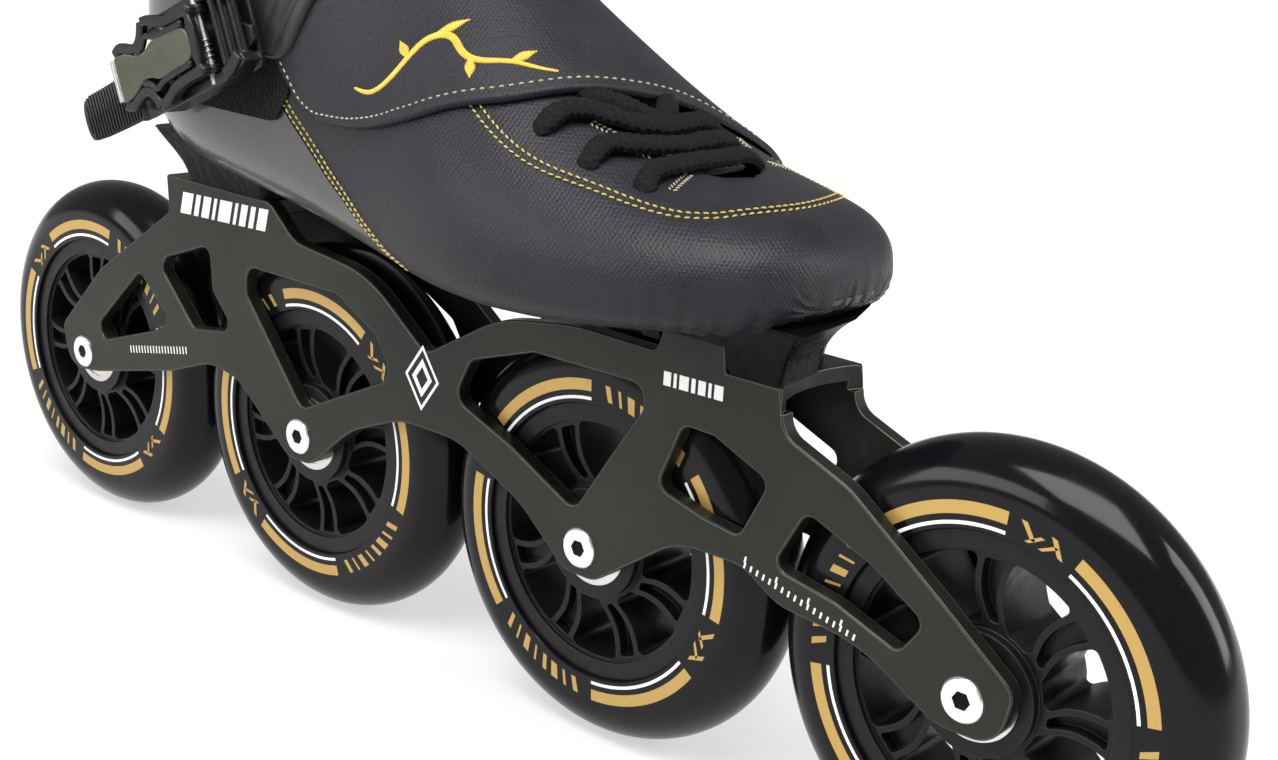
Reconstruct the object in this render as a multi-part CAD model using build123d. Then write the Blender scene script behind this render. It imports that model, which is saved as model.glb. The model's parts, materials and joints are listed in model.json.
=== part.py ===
from build123d import *
import os
from math import atan2, copysign, cos, degrees, hypot, pi, radians, sin, sqrt

# Right-foot inline speed skate, in millimetres.
# +X points to the toe, +Y to the wearer's left (the inner side of the foot), +Z up.
# The origin is on the ground, in the plane of the wheels, midway between the second and third wheels.

# ------------------------------------------------------------------ driving dimensions
WHEEL_R = 55.0                  # 110 mm wheels
WHEEL_HALF = 12.0               # half the wheel's width
WHEELBASE = 335.28              # 13.2 inches from the first axle to the last
PITCH = WHEELBASE / 3
AXLE_X = [-1.5 * PITCH, -0.5 * PITCH, 0.5 * PITCH, 1.5 * PITCH]
AXLE_Z = WHEEL_R

RAIL_OUT = 16.5                 # half the distance over the rails
RAIL_IN = 12.4                  # half the clear distance between the rails
FRONT_DECK_Z = 111.3            # top of the front deck
FRONT_BOSS_Z = 117.5            # top of the front mounting boss
REAR_DECK_Z = 122.0             # top of the rear deck
FRONT_BOLT_X = 87.5
REAR_BOLT_X = -92.5             # 180 mm behind the front bolt, mid-way along the rear slot
REAR_SLOT = 30.0                # the slot lets the spacing run from 165 to 195 mm

AXLE_R = 4.0                    # 8 mm axle
AXLE_HEAD_R = 5.2
AXLE_HEAD_PROUD = 0.7
AXLE_HEAD_SEAT = 2.9            # depth of the head's counterbore in the rail

BEARING_R = 11.0                # 608 bearing, 22 mm outside
BEARING_W = 7.0
BALL_R = 1.98
BALL_PITCH_R = 7.55
BALL_COUNT = 7
GROOVE_R = 2.05

HUB_R = 36.5                    # where the tyre is cast onto the hub
HUB_RIM_IN = 32.0
HUB_CORE_R = 14.5
SPOKES = 8
WEB_HALF = 9.6
HUB_TURN = [9.5, 2.0, 34.0, 13.0]      # degrees that each wheel stands turned forwards

SOLE_T = 3.0                    # laminate and upper thickness
PAD_T = 4.0                     # liner thickness
HEEL_SEAT_Z = 134.5             # flat top of the insole under the heel

BUCKLE_AT = (-67.0, -41.2, 163.0)       # middle of the buckle's base plate
BUCKLE_TILT = 24.0              # degrees, nose up towards the instep
CUFF_SLOPE = 0.60               # rise of the ankle strap towards the instep
CUFF_PAD_HALF = 15.0
LADDER_HALF = 7.0
LEVER_PIVOT_U = 10.5
PAWL_PIVOT_U = -6.0
PIVOT_W = 4.6
LEVER_PIN_R = 1.2
PAWL_PIN_R = 1.0

parts = {}


# ------------------------------------------------------------------ helpers
def xz_face(points, radii):
    """Closed outline of (x, z) corners, rounded by a list of radii or one radius."""
    line = FilletPolyline(*points, radius=radii, close=True)
    return make_face(line.edges())


def prism(face, y0, y1):
    """Stand an (x, z) outline at y0 and run it to y1."""
    plane = Plane(origin=(0, y0, 0), x_dir=(1, 0, 0), z_dir=(0, -1, 0))
    return extrude(plane * face, amount=-(y1 - y0))


def y_ring(r_out, r_in, y0, y1, x=0.0, z=0.0):
    """Ring or disc about a line along Y."""
    plane = Plane(origin=(x, y0, z), x_dir=(1, 0, 0), z_dir=(0, 1, 0))
    sketch = Circle(r_out)
    if r_in > 0:
        sketch -= Circle(r_in)
    return extrude(plane * sketch, amount=y1 - y0)


def one_solid(shape):
    """The single solid of a shape, the largest if slivers were cut off it."""
    return max(shape.solids(), key=lambda s: s.volume)


def save(name, *solids):
    parts[name] = solids[0] if len(solids) == 1 else Compound(children=list(solids))


# ------------------------------------------------------------------ wheels
def tyre_solid():
    """Side faces flat out to the shoulder, then an elliptical tread."""
    shoulder_r = 44.0
    crown = [
        (shoulder_r + (WHEEL_R - shoulder_r) * sin(t), WHEEL_HALF * cos(t))
        for t in [radians(a) for a in (0, 22, 45, 68, 90, 112, 135, 158, 180)]
    ]
    with BuildSketch(Plane.XY) as profile:
        with BuildLine():
            Line((HUB_R, -WHEEL_HALF), (HUB_R, WHEEL_HALF))
            Line((HUB_R, WHEEL_HALF), (shoulder_r, WHEEL_HALF))
            Spline(*crown, tangents=[(1, 0), (-1, 0)])
            Line((shoulder_r, -WHEEL_HALF), (HUB_R, -WHEEL_HALF))
        make_face()
    return one_solid(revolve(profile.sketch, axis=Axis.Y))


def spoke_angle(r):
    """Degrees by which a spoke's centre line has swept at radius r: quickly at first, then a little back."""
    t = (r - HUB_CORE_R) / (HUB_RIM_IN - HUB_CORE_R)
    return 17.0 * (1 - (1 - t) ** 4) - 5.0 * t ** 2


def polar(r, angle):
    return (r * cos(radians(angle)), r * sin(radians(angle)))


def hub_window(index):
    """One opening between two spokes, as a face in (x, z)."""
    r_low, r_high = HUB_CORE_R + 0.9, HUB_RIM_IN - 0.7
    step = 360.0 / SPOKES
    radii = [r_low, 18.0, 21.0, 24.5, 28.0, r_high]

    def edge_points(side):
        points = []
        for r in radii:
            half = degrees((2.7 + 1.5 * (r - r_low) / (r_high - r_low)) / r)
            centre = (index + (0 if side > 0 else 1)) * step + spoke_angle(r)
            points.append(polar(r, centre + side * half))
        return points

    first, second = edge_points(1), edge_points(-1)
    a0, a1 = [degrees(atan2(p[1], p[0])) for p in (first[-1], second[-1])]
    b0, b1 = [degrees(atan2(p[1], p[0])) for p in (first[0], second[0])]
    if a1 < a0:
        a1 += 360
    if b1 < b0:
        b1 += 360
    with BuildSketch() as sketch:
        with BuildLine():
            Spline(*first)
            ThreePointArc(first[-1], polar(r_high, (a0 + a1) / 2), second[-1])
            Spline(*second)
            ThreePointArc(first[0], polar(r_low, (b0 + b1) / 2), second[0])
        make_face()
        fillet(sketch.vertices(), radius=1.6)
    return sketch.sketch


def spoke_groove(index):
    """The channel between a spoke's two ribs, as a face in (x, z)."""
    step = 360.0 / SPOKES
    r_low, r_high = 16.6, 30.6
    radii = [r_low, 18.5, 21.5, 25.0, 28.0, r_high]
    sides = []
    for side in (1, -1):
        points = []
        for r in radii:
            swell = 1.25 + 1.35 * (r - r_low) / (r_high - r_low)
            points.append(polar(r, index * step + spoke_angle(r) + side * degrees(swell / r)))
        sides.append(points)
    with BuildSketch() as sketch:
        with BuildLine():
            Spline(*sides[0])
            Line(sides[0][-1], sides[1][-1])
            Spline(*sides[1])
            Line(sides[1][0], sides[0][0])
        make_face()
        fillet(sketch.vertices(), radius=0.7)
    return sketch.sketch


def hub_solid():
    rim_half = 10.8
    groove_depth = 3.2
    body = y_ring(HUB_R, HUB_RIM_IN, -rim_half, rim_half)
    body += y_ring(HUB_RIM_IN + 0.5, HUB_CORE_R - 0.5, -WEB_HALF, WEB_HALF)
    body += y_ring(HUB_CORE_R, 0, -WHEEL_HALF, WHEEL_HALF)
    body -= y_ring(BEARING_R, 0, WHEEL_HALF - BEARING_W, WHEEL_HALF)
    body -= y_ring(BEARING_R, 0, -WHEEL_HALF, BEARING_W - WHEEL_HALF)
    body -= y_ring(9.5, 0, -WHEEL_HALF, WHEEL_HALF)
    for index in range(SPOKES):
        body -= prism(hub_window(index), -WHEEL_HALF, WHEEL_HALF)
        groove = spoke_groove(index)
        body -= prism(groove, -WEB_HALF, -WEB_HALF + groove_depth)
        body -= prism(groove, WEB_HALF - groove_depth, WEB_HALF)
    return one_solid(body)


def bearing_parts():
    """Outer rings, inner rings, balls, cages and shields of the two bearings, about the origin."""
    outer, inner, balls, cages, shields = [], [], [], [], []
    inner_r, outer_bore = 5.9, 9.2
    mid = WHEEL_HALF - BEARING_W / 2
    for side in (-1, 1):
        y0, y1 = sorted((side * (WHEEL_HALF - BEARING_W), side * WHEEL_HALF))
        race = Pos(0, side * mid, 0) * Rot(90, 0, 0) * Torus(BALL_PITCH_R, GROOVE_R)
        outer.append(one_solid(y_ring(BEARING_R, outer_bore, y0, y1) - race))
        inner.append(one_solid(y_ring(inner_r, AXLE_R, y0, y1) - race))
        cage_y = sorted((side * (mid + 0.1), side * (mid + 2.45)))
        cage = y_ring(8.2, 6.9, *cage_y)
        for index in range(BALL_COUNT):
            x, z = polar(BALL_PITCH_R, index * 360.0 / BALL_COUNT)
            balls.append(one_solid(Pos(x, side * mid, z) * Sphere(BALL_R)))
            cage -= Pos(x, side * mid, z) * Sphere(GROOVE_R + 0.03)
        cages.append(one_solid(cage))
        for near in (0.3, BEARING_W - 0.7):
            ys = sorted((side * (WHEEL_HALF - near), side * (WHEEL_HALF - near - 0.4)))
            shields.append(one_solid(y_ring(outer_bore, 6.3, *ys)))
    return outer, inner, balls, cages, shields


def axle_solid():
    """Socket-head axle from the outer side, its end flush with the far rail."""
    head_y = -RAIL_OUT - AXLE_HEAD_PROUD
    seat_y = -RAIL_OUT + AXLE_HEAD_SEAT
    head = y_ring(AXLE_HEAD_R, 0, head_y, seat_y)
    head = chamfer(head.edges().group_by(Axis.Y)[0], 0.35)
    body = head + y_ring(AXLE_R, 0, seat_y, RAIL_OUT)
    plane = Plane(origin=(0, head_y, 0), x_dir=(1, 0, 0), z_dir=(0, 1, 0))
    body -= extrude(plane * RegularPolygon(2.3, 6), amount=2.6)
    return one_solid(body)


def make_wheels():
    tyre, hub, axle = tyre_solid(), hub_solid(), axle_solid()
    spacer = one_solid(y_ring(5.9, AXLE_R, BEARING_W - WHEEL_HALF, WHEEL_HALF - BEARING_W))
    outer, inner, balls, cages, shields = bearing_parts()
    for number, x in enumerate(AXLE_X, start=1):
        place = Pos(x, 0, AXLE_Z)
        groups = {
            "tyre": [tyre], "axle": [axle], "bearing_spacer": [spacer],
            "bearing_outer": outer, "bearing_inner": inner, "bearing_balls": balls,
            "bearing_cages": cages, "bearing_shields": shields,
        }
        groups["hub"] = [Rot(0, HUB_TURN[number - 1], 0) * hub]
        for name, solids in groups.items():
            save(f"{name}_{number}", *[place * s for s in solids])


# ------------------------------------------------------------------ frame
RAIL_OUTLINE = [                # (x, z, corner radius), from the rear top corner towards the toe
    (-119.6, 122.0, 0.8), (-69.5, 122.0, 7), (-58.5, 112.6, 12), (-27.0, 109.5, 40), (-3.0, 92.5, 5),
    (24.0, 108.0, 40), (50.0, 112.2, 60), (76.8, 111.8, 2), (78.3, 117.5, 0.8), (97.0, 117.5, 0.8),
    (97.6, 111.3, 0.8), (113.3, 111.3, 0.6), (115.2, 100.9, 6), (134.0, 93.5, 22), (158.0, 76.5, 40),
    (179.6, 60.5, 5), (177.0, 47.0, 8), (161.5, 46.6, 14), (140.0, 58.2, 40), (117.5, 60.0, 16),
    (106.5, 66.3, 12), (87.0, 66.0, 22), (61.0, 47.4, 8), (50.8, 47.4, 8), (34.0, 60.8, 30),
    (10.0, 71.3, 22), (-12.0, 71.3, 30), (-33.0, 62.5, 30), (-50.8, 47.4, 8), (-61.0, 47.4, 8),
    (-84.5, 65.0, 14), (-98.0, 67.3, 20), (-118.0, 60.0, 60), (-160.0, 49.8, 10), (-176.0, 47.6, 8),
    (-179.8, 62.0, 4), (-157.0, 85.0, 20), (-118.6, 110.5, 3),
]
WINDOWS = [                     # corner points and one corner radius for each window
    ([(-135.0, 88.6), (-118.8, 75.6), (-127.5, 71.0), (-156.5, 61.4), (-158.0, 67.0)], 3.0),
    ([(-120.4, 96.0), (-98.6, 103.8), (-97.0, 90.2), (-86.6, 79.6), (-106.6, 76.4), (-123.4, 92.2)], 3.0),
    ([(-80.6, 101.0), (-40.0, 101.2), (-23.0, 93.0), (-16.0, 82.2), (-55.0, 63.6), (-80.6, 92.6)], 4.2),
    ([(8.6, 83.0), (14.4, 94.6), (37.0, 102.0), (74.0, 102.4), (73.6, 96.0), (64.0, 81.6),
      (53.2, 64.4), (30.0, 75.4)], 4.2),
    ([(86.4, 95.6), (95.6, 95.4), (112.4, 88.6), (105.0, 73.4), (94.0, 74.8), (79.6, 78.4)], 3.0),
    ([(115.2, 69.0), (123.4, 84.6), (142.0, 77.4), (156.4, 68.6), (150.4, 60.0), (133.0, 66.0)], 3.0),
]


def rail_solid(side):
    corners = [(x, z) for x, z, _ in RAIL_OUTLINE]
    radii = [r for _, _, r in RAIL_OUTLINE]
    y0, y1 = sorted((side * RAIL_IN, side * RAIL_OUT))
    body = prism(xz_face(corners, radii), y0, y1)
    for outline, radius in WINDOWS:
        body -= prism(xz_face(outline, radius), y0, y1)
    outer_face = body.faces().sort_by(Axis.Y)[0 if side < 0 else -1]
    body = chamfer(outer_face.edges(), 0.35)
    for x in AXLE_X:
        boss_y = sorted((side * WHEEL_HALF, side * (RAIL_IN + 0.1)))
        body += y_ring(5.6, 0, *boss_y, x=x, z=AXLE_Z)
        hole_y = sorted((side * (WHEEL_HALF - 1), side * (RAIL_OUT + 1)))
        body -= y_ring(AXLE_R, 0, *hole_y, x=x, z=AXLE_Z)
        if side < 0:
            body -= y_ring(AXLE_HEAD_R, 0, -RAIL_OUT - 1, -RAIL_OUT + AXLE_HEAD_SEAT, x=x, z=AXLE_Z)
    return body


def make_frame():
    body = rail_solid(-1) + rail_solid(1)
    front_deck = xz_face([(77.6, 107.6), (77.6, FRONT_DECK_Z), (113.2, FRONT_DECK_Z), (113.2, 107.6)], 0.5)
    front_boss = xz_face([(78.3, 108.0), (78.3, FRONT_BOSS_Z), (97.0, FRONT_BOSS_Z), (97.6, 108.0)], 0.4)
    rear_deck = xz_face([(-118.9, 117.2), (-119.2, REAR_DECK_Z), (-71.0, REAR_DECK_Z), (-71.0, 117.2)], 0.5)
    inside = RAIL_IN + 0.2
    for face in (front_deck, front_boss, rear_deck):
        body += prism(face, -inside, inside)
    # the front deck's edge is scooped back between the rails
    body -= Pos(113.2 + 34.5, 0, FRONT_DECK_Z) * Cylinder(37.5, 12)
    body -= Pos(FRONT_BOLT_X, 0, 112) * Cylinder(3.1, 20)
    slot = SlotOverall(REAR_SLOT + 6.2, 6.2)
    body -= Pos(REAR_BOLT_X, 0, 115) * extrude(slot, amount=10)
    save("frame", one_solid(body))


# ------------------------------------------------------------------ boot form
# Each ring is a section of the boot in a plane square to the XZ plane. It runs from a point on the
# sole or heel (xb, zb) to a point on the instep or tongue (xt, zt). wl and wm are the half widths to
# the outer and inner side, f the height of the widest place, nb and nt the squareness below and above.
RINGS = [
    (119.5, 134.0, 119.5, 139.0, 6, 5, 0.50, 2.2, 2.2),
    (117.0, 127.5, 116.5, 143.5, 20, 18, 0.46, 2.6, 2.4),
    (110.0, 123.8, 110.0, 148.0, 31, 28, 0.42, 3.2, 2.3),
    (98.0, 121.8, 98.0, 151.5, 39, 36, 0.40, 3.6, 2.2),
    (78.0, 120.0, 78.0, 156.5, 44.5, 42, 0.38, 4.2, 2.1),
    (54.0, 117.8, 54.0, 169.0, 47.5, 44, 0.33, 4.4, 1.9),
    (30.0, 116.6, 31.0, 184.0, 46, 41, 0.30, 4.2, 1.85),
    (5.0, 117.0, 13.0, 197.0, 40.5, 36, 0.28, 3.8, 1.85),
    (-20.0, 119.0, 2.0, 206.0, 36, 33, 0.28, 3.4, 1.9),
    (-50.0, 122.0, -6.0, 215.0, 34, 32, 0.33, 3.0, 2.0),
    (-80.0, 125.5, -11.0, 223.0, 34, 32, 0.40, 3.0, 2.1),
    (-104.0, 129.5, -15.0, 230.0, 34, 32.5, 0.46, 3.0, 2.2),
    (-119.0, 136.0, -17.0, 236.0, 34, 33.5, 0.50, 2.7, 2.3),
    (-125.0, 150.0, -19.0, 242.0, 34.5, 35, 0.50, 2.5, 2.4),
    (-126.0, 168.0, -21.0, 248.0, 35.5, 36, 0.50, 2.3, 2.4),
    (-121.0, 190.0, -23.0, 253.0, 36, 37, 0.50, 2.2, 2.4),
    (-115.0, 212.0, -25.0, 258.0, 36.5, 37, 0.50, 2.2, 2.4),
    (-112.0, 234.0, -27.0, 263.0, 37, 37, 0.50, 2.2, 2.4),
    (-110.0, 252.0, -28.5, 270.0, 37, 37, 0.50, 2.2, 2.4),
]
RING_POINTS = 28
HEEL_RING = 11                  # from here on the rings turn up round the heel


def ring_wire(index, inset, sole_inset):
    """One closed section, moved inwards by inset, or by sole_inset at the sole."""
    xb, zb, xt, zt, wl, wm, f, nb, nt = RINGS[index]
    turn = min(max((index - HEEL_RING) / 2, 0), 1)
    low = sole_inset + (inset - sole_inset) * turn
    length = hypot(xt - xb, zt - zb)
    ux, uz = (xt - xb) / length, (zt - zb) / length
    toe_shift = inset * max(0.0, 1 - index / 3)
    if index == 0:
        low = inset = inset * 0.2
    xb, zb = xb + ux * low - toe_shift, zb + uz * low
    xt, zt = xt - ux * inset - toe_shift, zt - uz * inset
    wl, wm = wl - inset, wm - inset
    points = []
    for k in range(RING_POINTS):
        a = 2 * pi * k / RING_POINTS
        c, s = -cos(a), sin(a)
        n = nb if c < 0 else nt
        rise = (abs(c) ** (2 / n)) * (1 if c > 0 else -1)
        side = (abs(s) ** (2 / n)) * (1 if s > 0 else -1)
        h = f + rise * (f if c < 0 else 1 - f)
        y = -side * (wl if s > 0 else wm)
        points.append((xb + (xt - xb) * h, y, zb + (zt - zb) * h))
    return Wire([Edge.make_spline(points, periodic=True)])


def boot_form(inset, sole_inset=None):
    if sole_inset is None:
        sole_inset = inset
    wires = [ring_wire(i, inset, sole_inset) for i in range(len(RINGS))]
    return Solid.make_loft(wires)


def side_prism(points, radii=0.0, half=80.0):
    """Prism right through the boot from side to side, used to cut it."""
    return one_solid(prism(xz_face(points, radii), -half, half))


def tongue_prism(points, half):
    return side_prism(points, [0] * len(points), half)


def make_boot():
    outer = boot_form(0)
    middle = boot_form(SOLE_T)
    inner = boot_form(SOLE_T + PAD_T, SOLE_T + 1.5)

    # the collar dips at the ankle; the tongue stands above it in front
    below_collar = side_prism(
        [(-160, 90), (160, 90), (160, 246), (-26, 246), (-42, 240), (-62, 228), (-92, 229), (-114, 240),
         (-160, 244)],
        [0, 0, 0, 8, 20, 14, 14, 8, 0],
    )
    wall = (outer - middle) & below_collar
    lining = middle - inner

    # rigid laminate: the sole all the way, and the heel cup behind the slanting quarter seam
    sole_line = side_prism(
        [(-127, 100), (140, 100), (140, 134), (118, 131.2), (110, 127.2), (98, 125.0), (78, 123.2),
         (54, 121.0), (20, 120.0), (5, 120.4), (-20, 122.4), (-50, 125.4), (-80, 128.8), (-104, 132.8),
         (-127, 141)],
    )
    cup_zone = side_prism(
        [(-140, 100), (22, 100), (22, 117.5), (6, 123.5), (-6, 129.0), (-22, 138.5), (-38, 150.5), (-52, 163.5),
         (-68, 179), (-100, 188), (-140, 190)],
        [0, 0, 0, 20, 30, 30, 30, 30, 20, 10, 0],
    )
    sole = wall & sole_line
    cup = (wall - sole_line) & cup_zone
    rest = (wall - sole_line) - cup_zone

    # the upper's throat lies open over the tongue
    throat = tongue_prism([(88, 140), (88, 170), (60, 200), (20, 230), (-10, 300), (-70, 300),
                           (-40, 225), (5, 180), (60, 150)], 13)
    tongue_zone = tongue_prism([(92, 140), (92, 170), (60, 200), (20, 230), (-10, 300), (-70, 300),
                                (-44, 225), (5, 178), (60, 148)], 22)
    below_tongue_top = side_prism([(-160, 90), (160, 90), (160, 259), (-160, 259)])
    footbed = side_prism(
        [(-140, 100), (140, 100), (140, 134.5), (116, 133.5), (96, 129.4), (60, 126.0), (20, 124.6),
         (-30, 129.0), (-58, HEEL_SEAT_Z), (-140, HEEL_SEAT_Z)],
        [0, 0, 0, 20, 60, 60, 60, 60, 20, 0],
    )
    boot = {
        "sole_plate": sole,
        "heel_shell": cup,
        "upper": rest - throat,
        "tongue": lining & tongue_zone & below_tongue_top,
        "liner": (lining & below_collar) - tongue_zone,
        "insole": inner & footbed,
    }
    return outer, {name: one_solid(shape) for name, shape in boot.items()}


# ------------------------------------------------------------------ what is fastened over the boot
def over_layer(low, high):
    """Sheet that lies over the boot between two distances from its surface."""
    return boot_form(-high) - boot_form(-low)


def top_band(start, end, width):
    """Upright slab in plan that runs from start to end, (x, y) each."""
    length = hypot(end[0] - start[0], end[1] - start[1])
    angle = degrees(atan2(end[1] - start[1], end[0] - start[0]))
    middle = ((start[0] + end[0]) / 2, (start[1] + end[1]) / 2, 170)
    return Pos(*middle) * Rot(0, 0, angle) * Box(length, width, 80)


def cuff_line(x):
    """Height of the ankle strap's middle line, seen from the side."""
    return BUCKLE_AT[2] + CUFF_SLOPE * (x - BUCKLE_AT[0])


def cuff_zone(half_width, x_back):
    """Slab about the ankle strap's line, in front of x_back."""
    rise = half_width * sqrt(1 + CUFF_SLOPE ** 2)
    x_front = 40
    return side_prism([(x_back, cuff_line(x_back) - rise), (x_front, cuff_line(x_front) - rise),
                       (x_front, cuff_line(x_front) + rise), (x_back, cuff_line(x_back) + rise)])


def make_straps():
    strap_zone = side_prism([(-31, 151.5), (75, 174.5), (75, 215.5), (-50, 178)], [7, 0, 0, 4])
    strap = over_layer(1.3, 3.6) & strap_zone
    inner_side = Pos(0, 58, 170) * Box(400, 100, 200)
    outer_side = Pos(0, -58, 170) * Box(400, 100, 200)
    patch_zone = side_prism([(-24, 158), (42, 172.5), (26, 188), (-32, 174)], 3)
    thin = over_layer(0.2, 1.1)
    patch = thin & patch_zone & inner_side
    pad_zone = side_prism([(-86, 150), (-44, 150), (-38, 158), (-38, 186), (-80, 182)], 5)
    buckle_pad = thin & pad_zone & outer_side
    cuff = (over_layer(1.3, 4.0) & cuff_zone(CUFF_PAD_HALF, -64)) - strap_zone
    lace_layer = over_layer(0.3, 4.3)
    lace_rows = [((79, -32), (88, 17)), ((65.5, -31), (77, 18)), ((50.5, -32), (68, 19))]
    laces = []
    for start, end in lace_rows:
        row = (lace_layer & top_band(start, end, 5.6)) - strap_zone
        for other in laces:
            row -= other
        laces.append(one_solid(row))
    ladder_band = over_layer(5.0, 7.0) & cuff_zone(LADDER_HALF, -70)
    straps = {
        "instep_strap": one_solid(strap), "strap_patch": one_solid(patch),
        "buckle_pad": one_solid(buckle_pad), "cuff_pad": one_solid(cuff),
    }
    return straps, laces, ladder_band


# ------------------------------------------------------------------ ratchet buckle
# Its own frame: u along the strap towards the instep, v across it and upwards, w outwards.
# w = 0 is the outer face of the base plate, under the toothed strap.
def buckle_plane(w=0.0):
    tilt = radians(BUCKLE_TILT)
    x, y, z = BUCKLE_AT
    return Plane(origin=(x, y - w, z), x_dir=(cos(tilt), 0, sin(tilt)), z_dir=(0, -1, 0))


def slab(points, radii, w0, w1):
    """Plate with a (u, v) outline between two heights."""
    face = make_face(FilletPolyline(*points, radius=radii, close=True).edges())
    return extrude(buckle_plane(w0) * face, amount=w1 - w0)


def rail_plate(points, radii, v0, v1):
    """Plate with a (u, w) outline between two places across the strap."""
    base = buckle_plane()
    across = base.y_dir
    plane = Plane(origin=base.origin + across * v0, x_dir=base.x_dir, z_dir=-across)
    face = make_face(FilletPolyline(*points, radius=radii, close=True).edges())
    return extrude(plane * face, amount=-(v1 - v0))


def cross_rod(u, w, radius, v0, v1, bore=0.0):
    """Rod or tube across the strap."""
    base = buckle_plane()
    across = base.y_dir
    origin = base.origin + base.x_dir * u + base.z_dir * w + across * v0
    sketch = Circle(radius)
    if bore > 0:
        sketch -= Circle(bore)
    return extrude(Plane(origin=origin, x_dir=base.x_dir, z_dir=across) * sketch, amount=v1 - v0)


def make_buckle():
    wall_out, wall_in = 12.5, 9.5
    base = slab([(-14, -wall_out), (26, -wall_out), (26, wall_out), (-14, wall_out)], 2.5, -1.5, 0)
    side = [(-14, -1.5), (-14, 5.0), (-9.5, 7.2), (17, 7.2), (26, 2.5), (26, -1.5)]
    for v0, v1 in ((-wall_out, -wall_in), (wall_in, wall_out)):
        base += rail_plate(side, [0, 2, 3, 5, 1.2, 0], v0, v1)
    pins = []
    for u, radius in ((LEVER_PIVOT_U, LEVER_PIN_R), (PAWL_PIVOT_U, PAWL_PIN_R)):
        pin = one_solid(cross_rod(u, PIVOT_W, radius, -wall_out, wall_out))
        base -= pin
        pins.append(pin)

    lever = slab([(13.2, 7.0), (-3, 7.0), (-8, 12.5), (-21, 12.5), (-27, 9), (-27, -9), (-21, -12.5),
                  (-8, -12.5), (-3, -7.0), (13.2, -7.0)], [1, 4, 3, 4, 2, 2, 4, 3, 4, 1], 7.6, 9.6)
    lever += rail_plate([(-27, 7.6), (-27, 9.6), (-30, 11.2), (-31, 9.8)], [0, 1, 0.5, 0.5], -8, 8)
    bore = LEVER_PIN_R + 0.05
    for v0, v1 in ((-9.3, -7.2), (7.2, 9.3)):
        lever += cross_rod(LEVER_PIVOT_U, PIVOT_W, 2.9, v0, v1)
        lever += rail_plate([(9.4, PIVOT_W), (13.2, PIVOT_W), (13.2, 9.0), (7.0, 9.0), (7.0, 7.8)],
                            [0, 0, 0.5, 0.5, 0], v0, v1)
        shoulder_out = copysign(9.3, v0)
        shoulder_in = copysign(6.5, v0)
        lever += slab([(2, shoulder_in), (13.2, shoulder_in), (13.2, shoulder_out), (2, shoulder_out)], 0,
                      7.6, 9.0)
    lever -= cross_rod(LEVER_PIVOT_U, PIVOT_W, bore, -13, 13)

    pawl_half = 8.8
    nose_u = PAWL_PIVOT_U - 5.0
    pawl = cross_rod(PAWL_PIVOT_U, PIVOT_W, 1.9, -pawl_half, pawl_half)
    pawl += rail_plate([(PAWL_PIVOT_U, PIVOT_W - 1.2), (PAWL_PIVOT_U, PIVOT_W + 0.6), (-22, 4.9), (-24.5, 5.4),
                        (-24.5, 3.9), (-21, 3.4)], 0, -pawl_half, pawl_half)
    pawl += rail_plate([(nose_u - 0.5, 2.15), (nose_u + 0.3, 2.15), (nose_u + 1.2, 4.2), (nose_u - 1.0, 4.2)],
                       0, -6.0, 6.0)
    pawl -= cross_rod(PAWL_PIVOT_U, PIVOT_W, PAWL_PIN_R + 0.05, -13, 13)
    pawl -= cross_rod(PAWL_PIVOT_U, PIVOT_W, 2.4, -2.2, 2.2)

    springs = []
    for u, inner_r, half in ((LEVER_PIVOT_U, LEVER_PIN_R, 3.0), (PAWL_PIVOT_U, PAWL_PIN_R, 1.9)):
        wire_r = 0.22
        turns = 4
        coil_r = inner_r + wire_r + 0.08
        helix = Helix(pitch=2 * half / turns, height=2 * half, radius=coil_r)
        start = Plane(origin=helix @ 0, z_dir=helix % 0)
        coil = sweep(start * Circle(wire_r), path=helix)
        frame = buckle_plane()
        at = frame.origin + frame.x_dir * u + frame.z_dir * PIVOT_W - frame.y_dir * half
        springs.append(one_solid(Plane(origin=at, x_dir=frame.x_dir, z_dir=frame.y_dir) * coil))
    buckle = {"buckle_base": one_solid(base), "buckle_lever": one_solid(lever), "buckle_pawl": one_solid(pawl)}
    return buckle, pins, springs


def ladder_section(origin, along, across):
    """Outline of the ladder strap where it leaves the buckle's plane or meets the band."""
    line = FilletPolyline((-LADDER_HALF, -1), (LADDER_HALF, -1), (LADDER_HALF, 1), (-LADDER_HALF, 1),
                          radius=0.3, close=True)
    return Plane(origin=origin, x_dir=across, z_dir=along) * Wire(line.edges())


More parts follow.
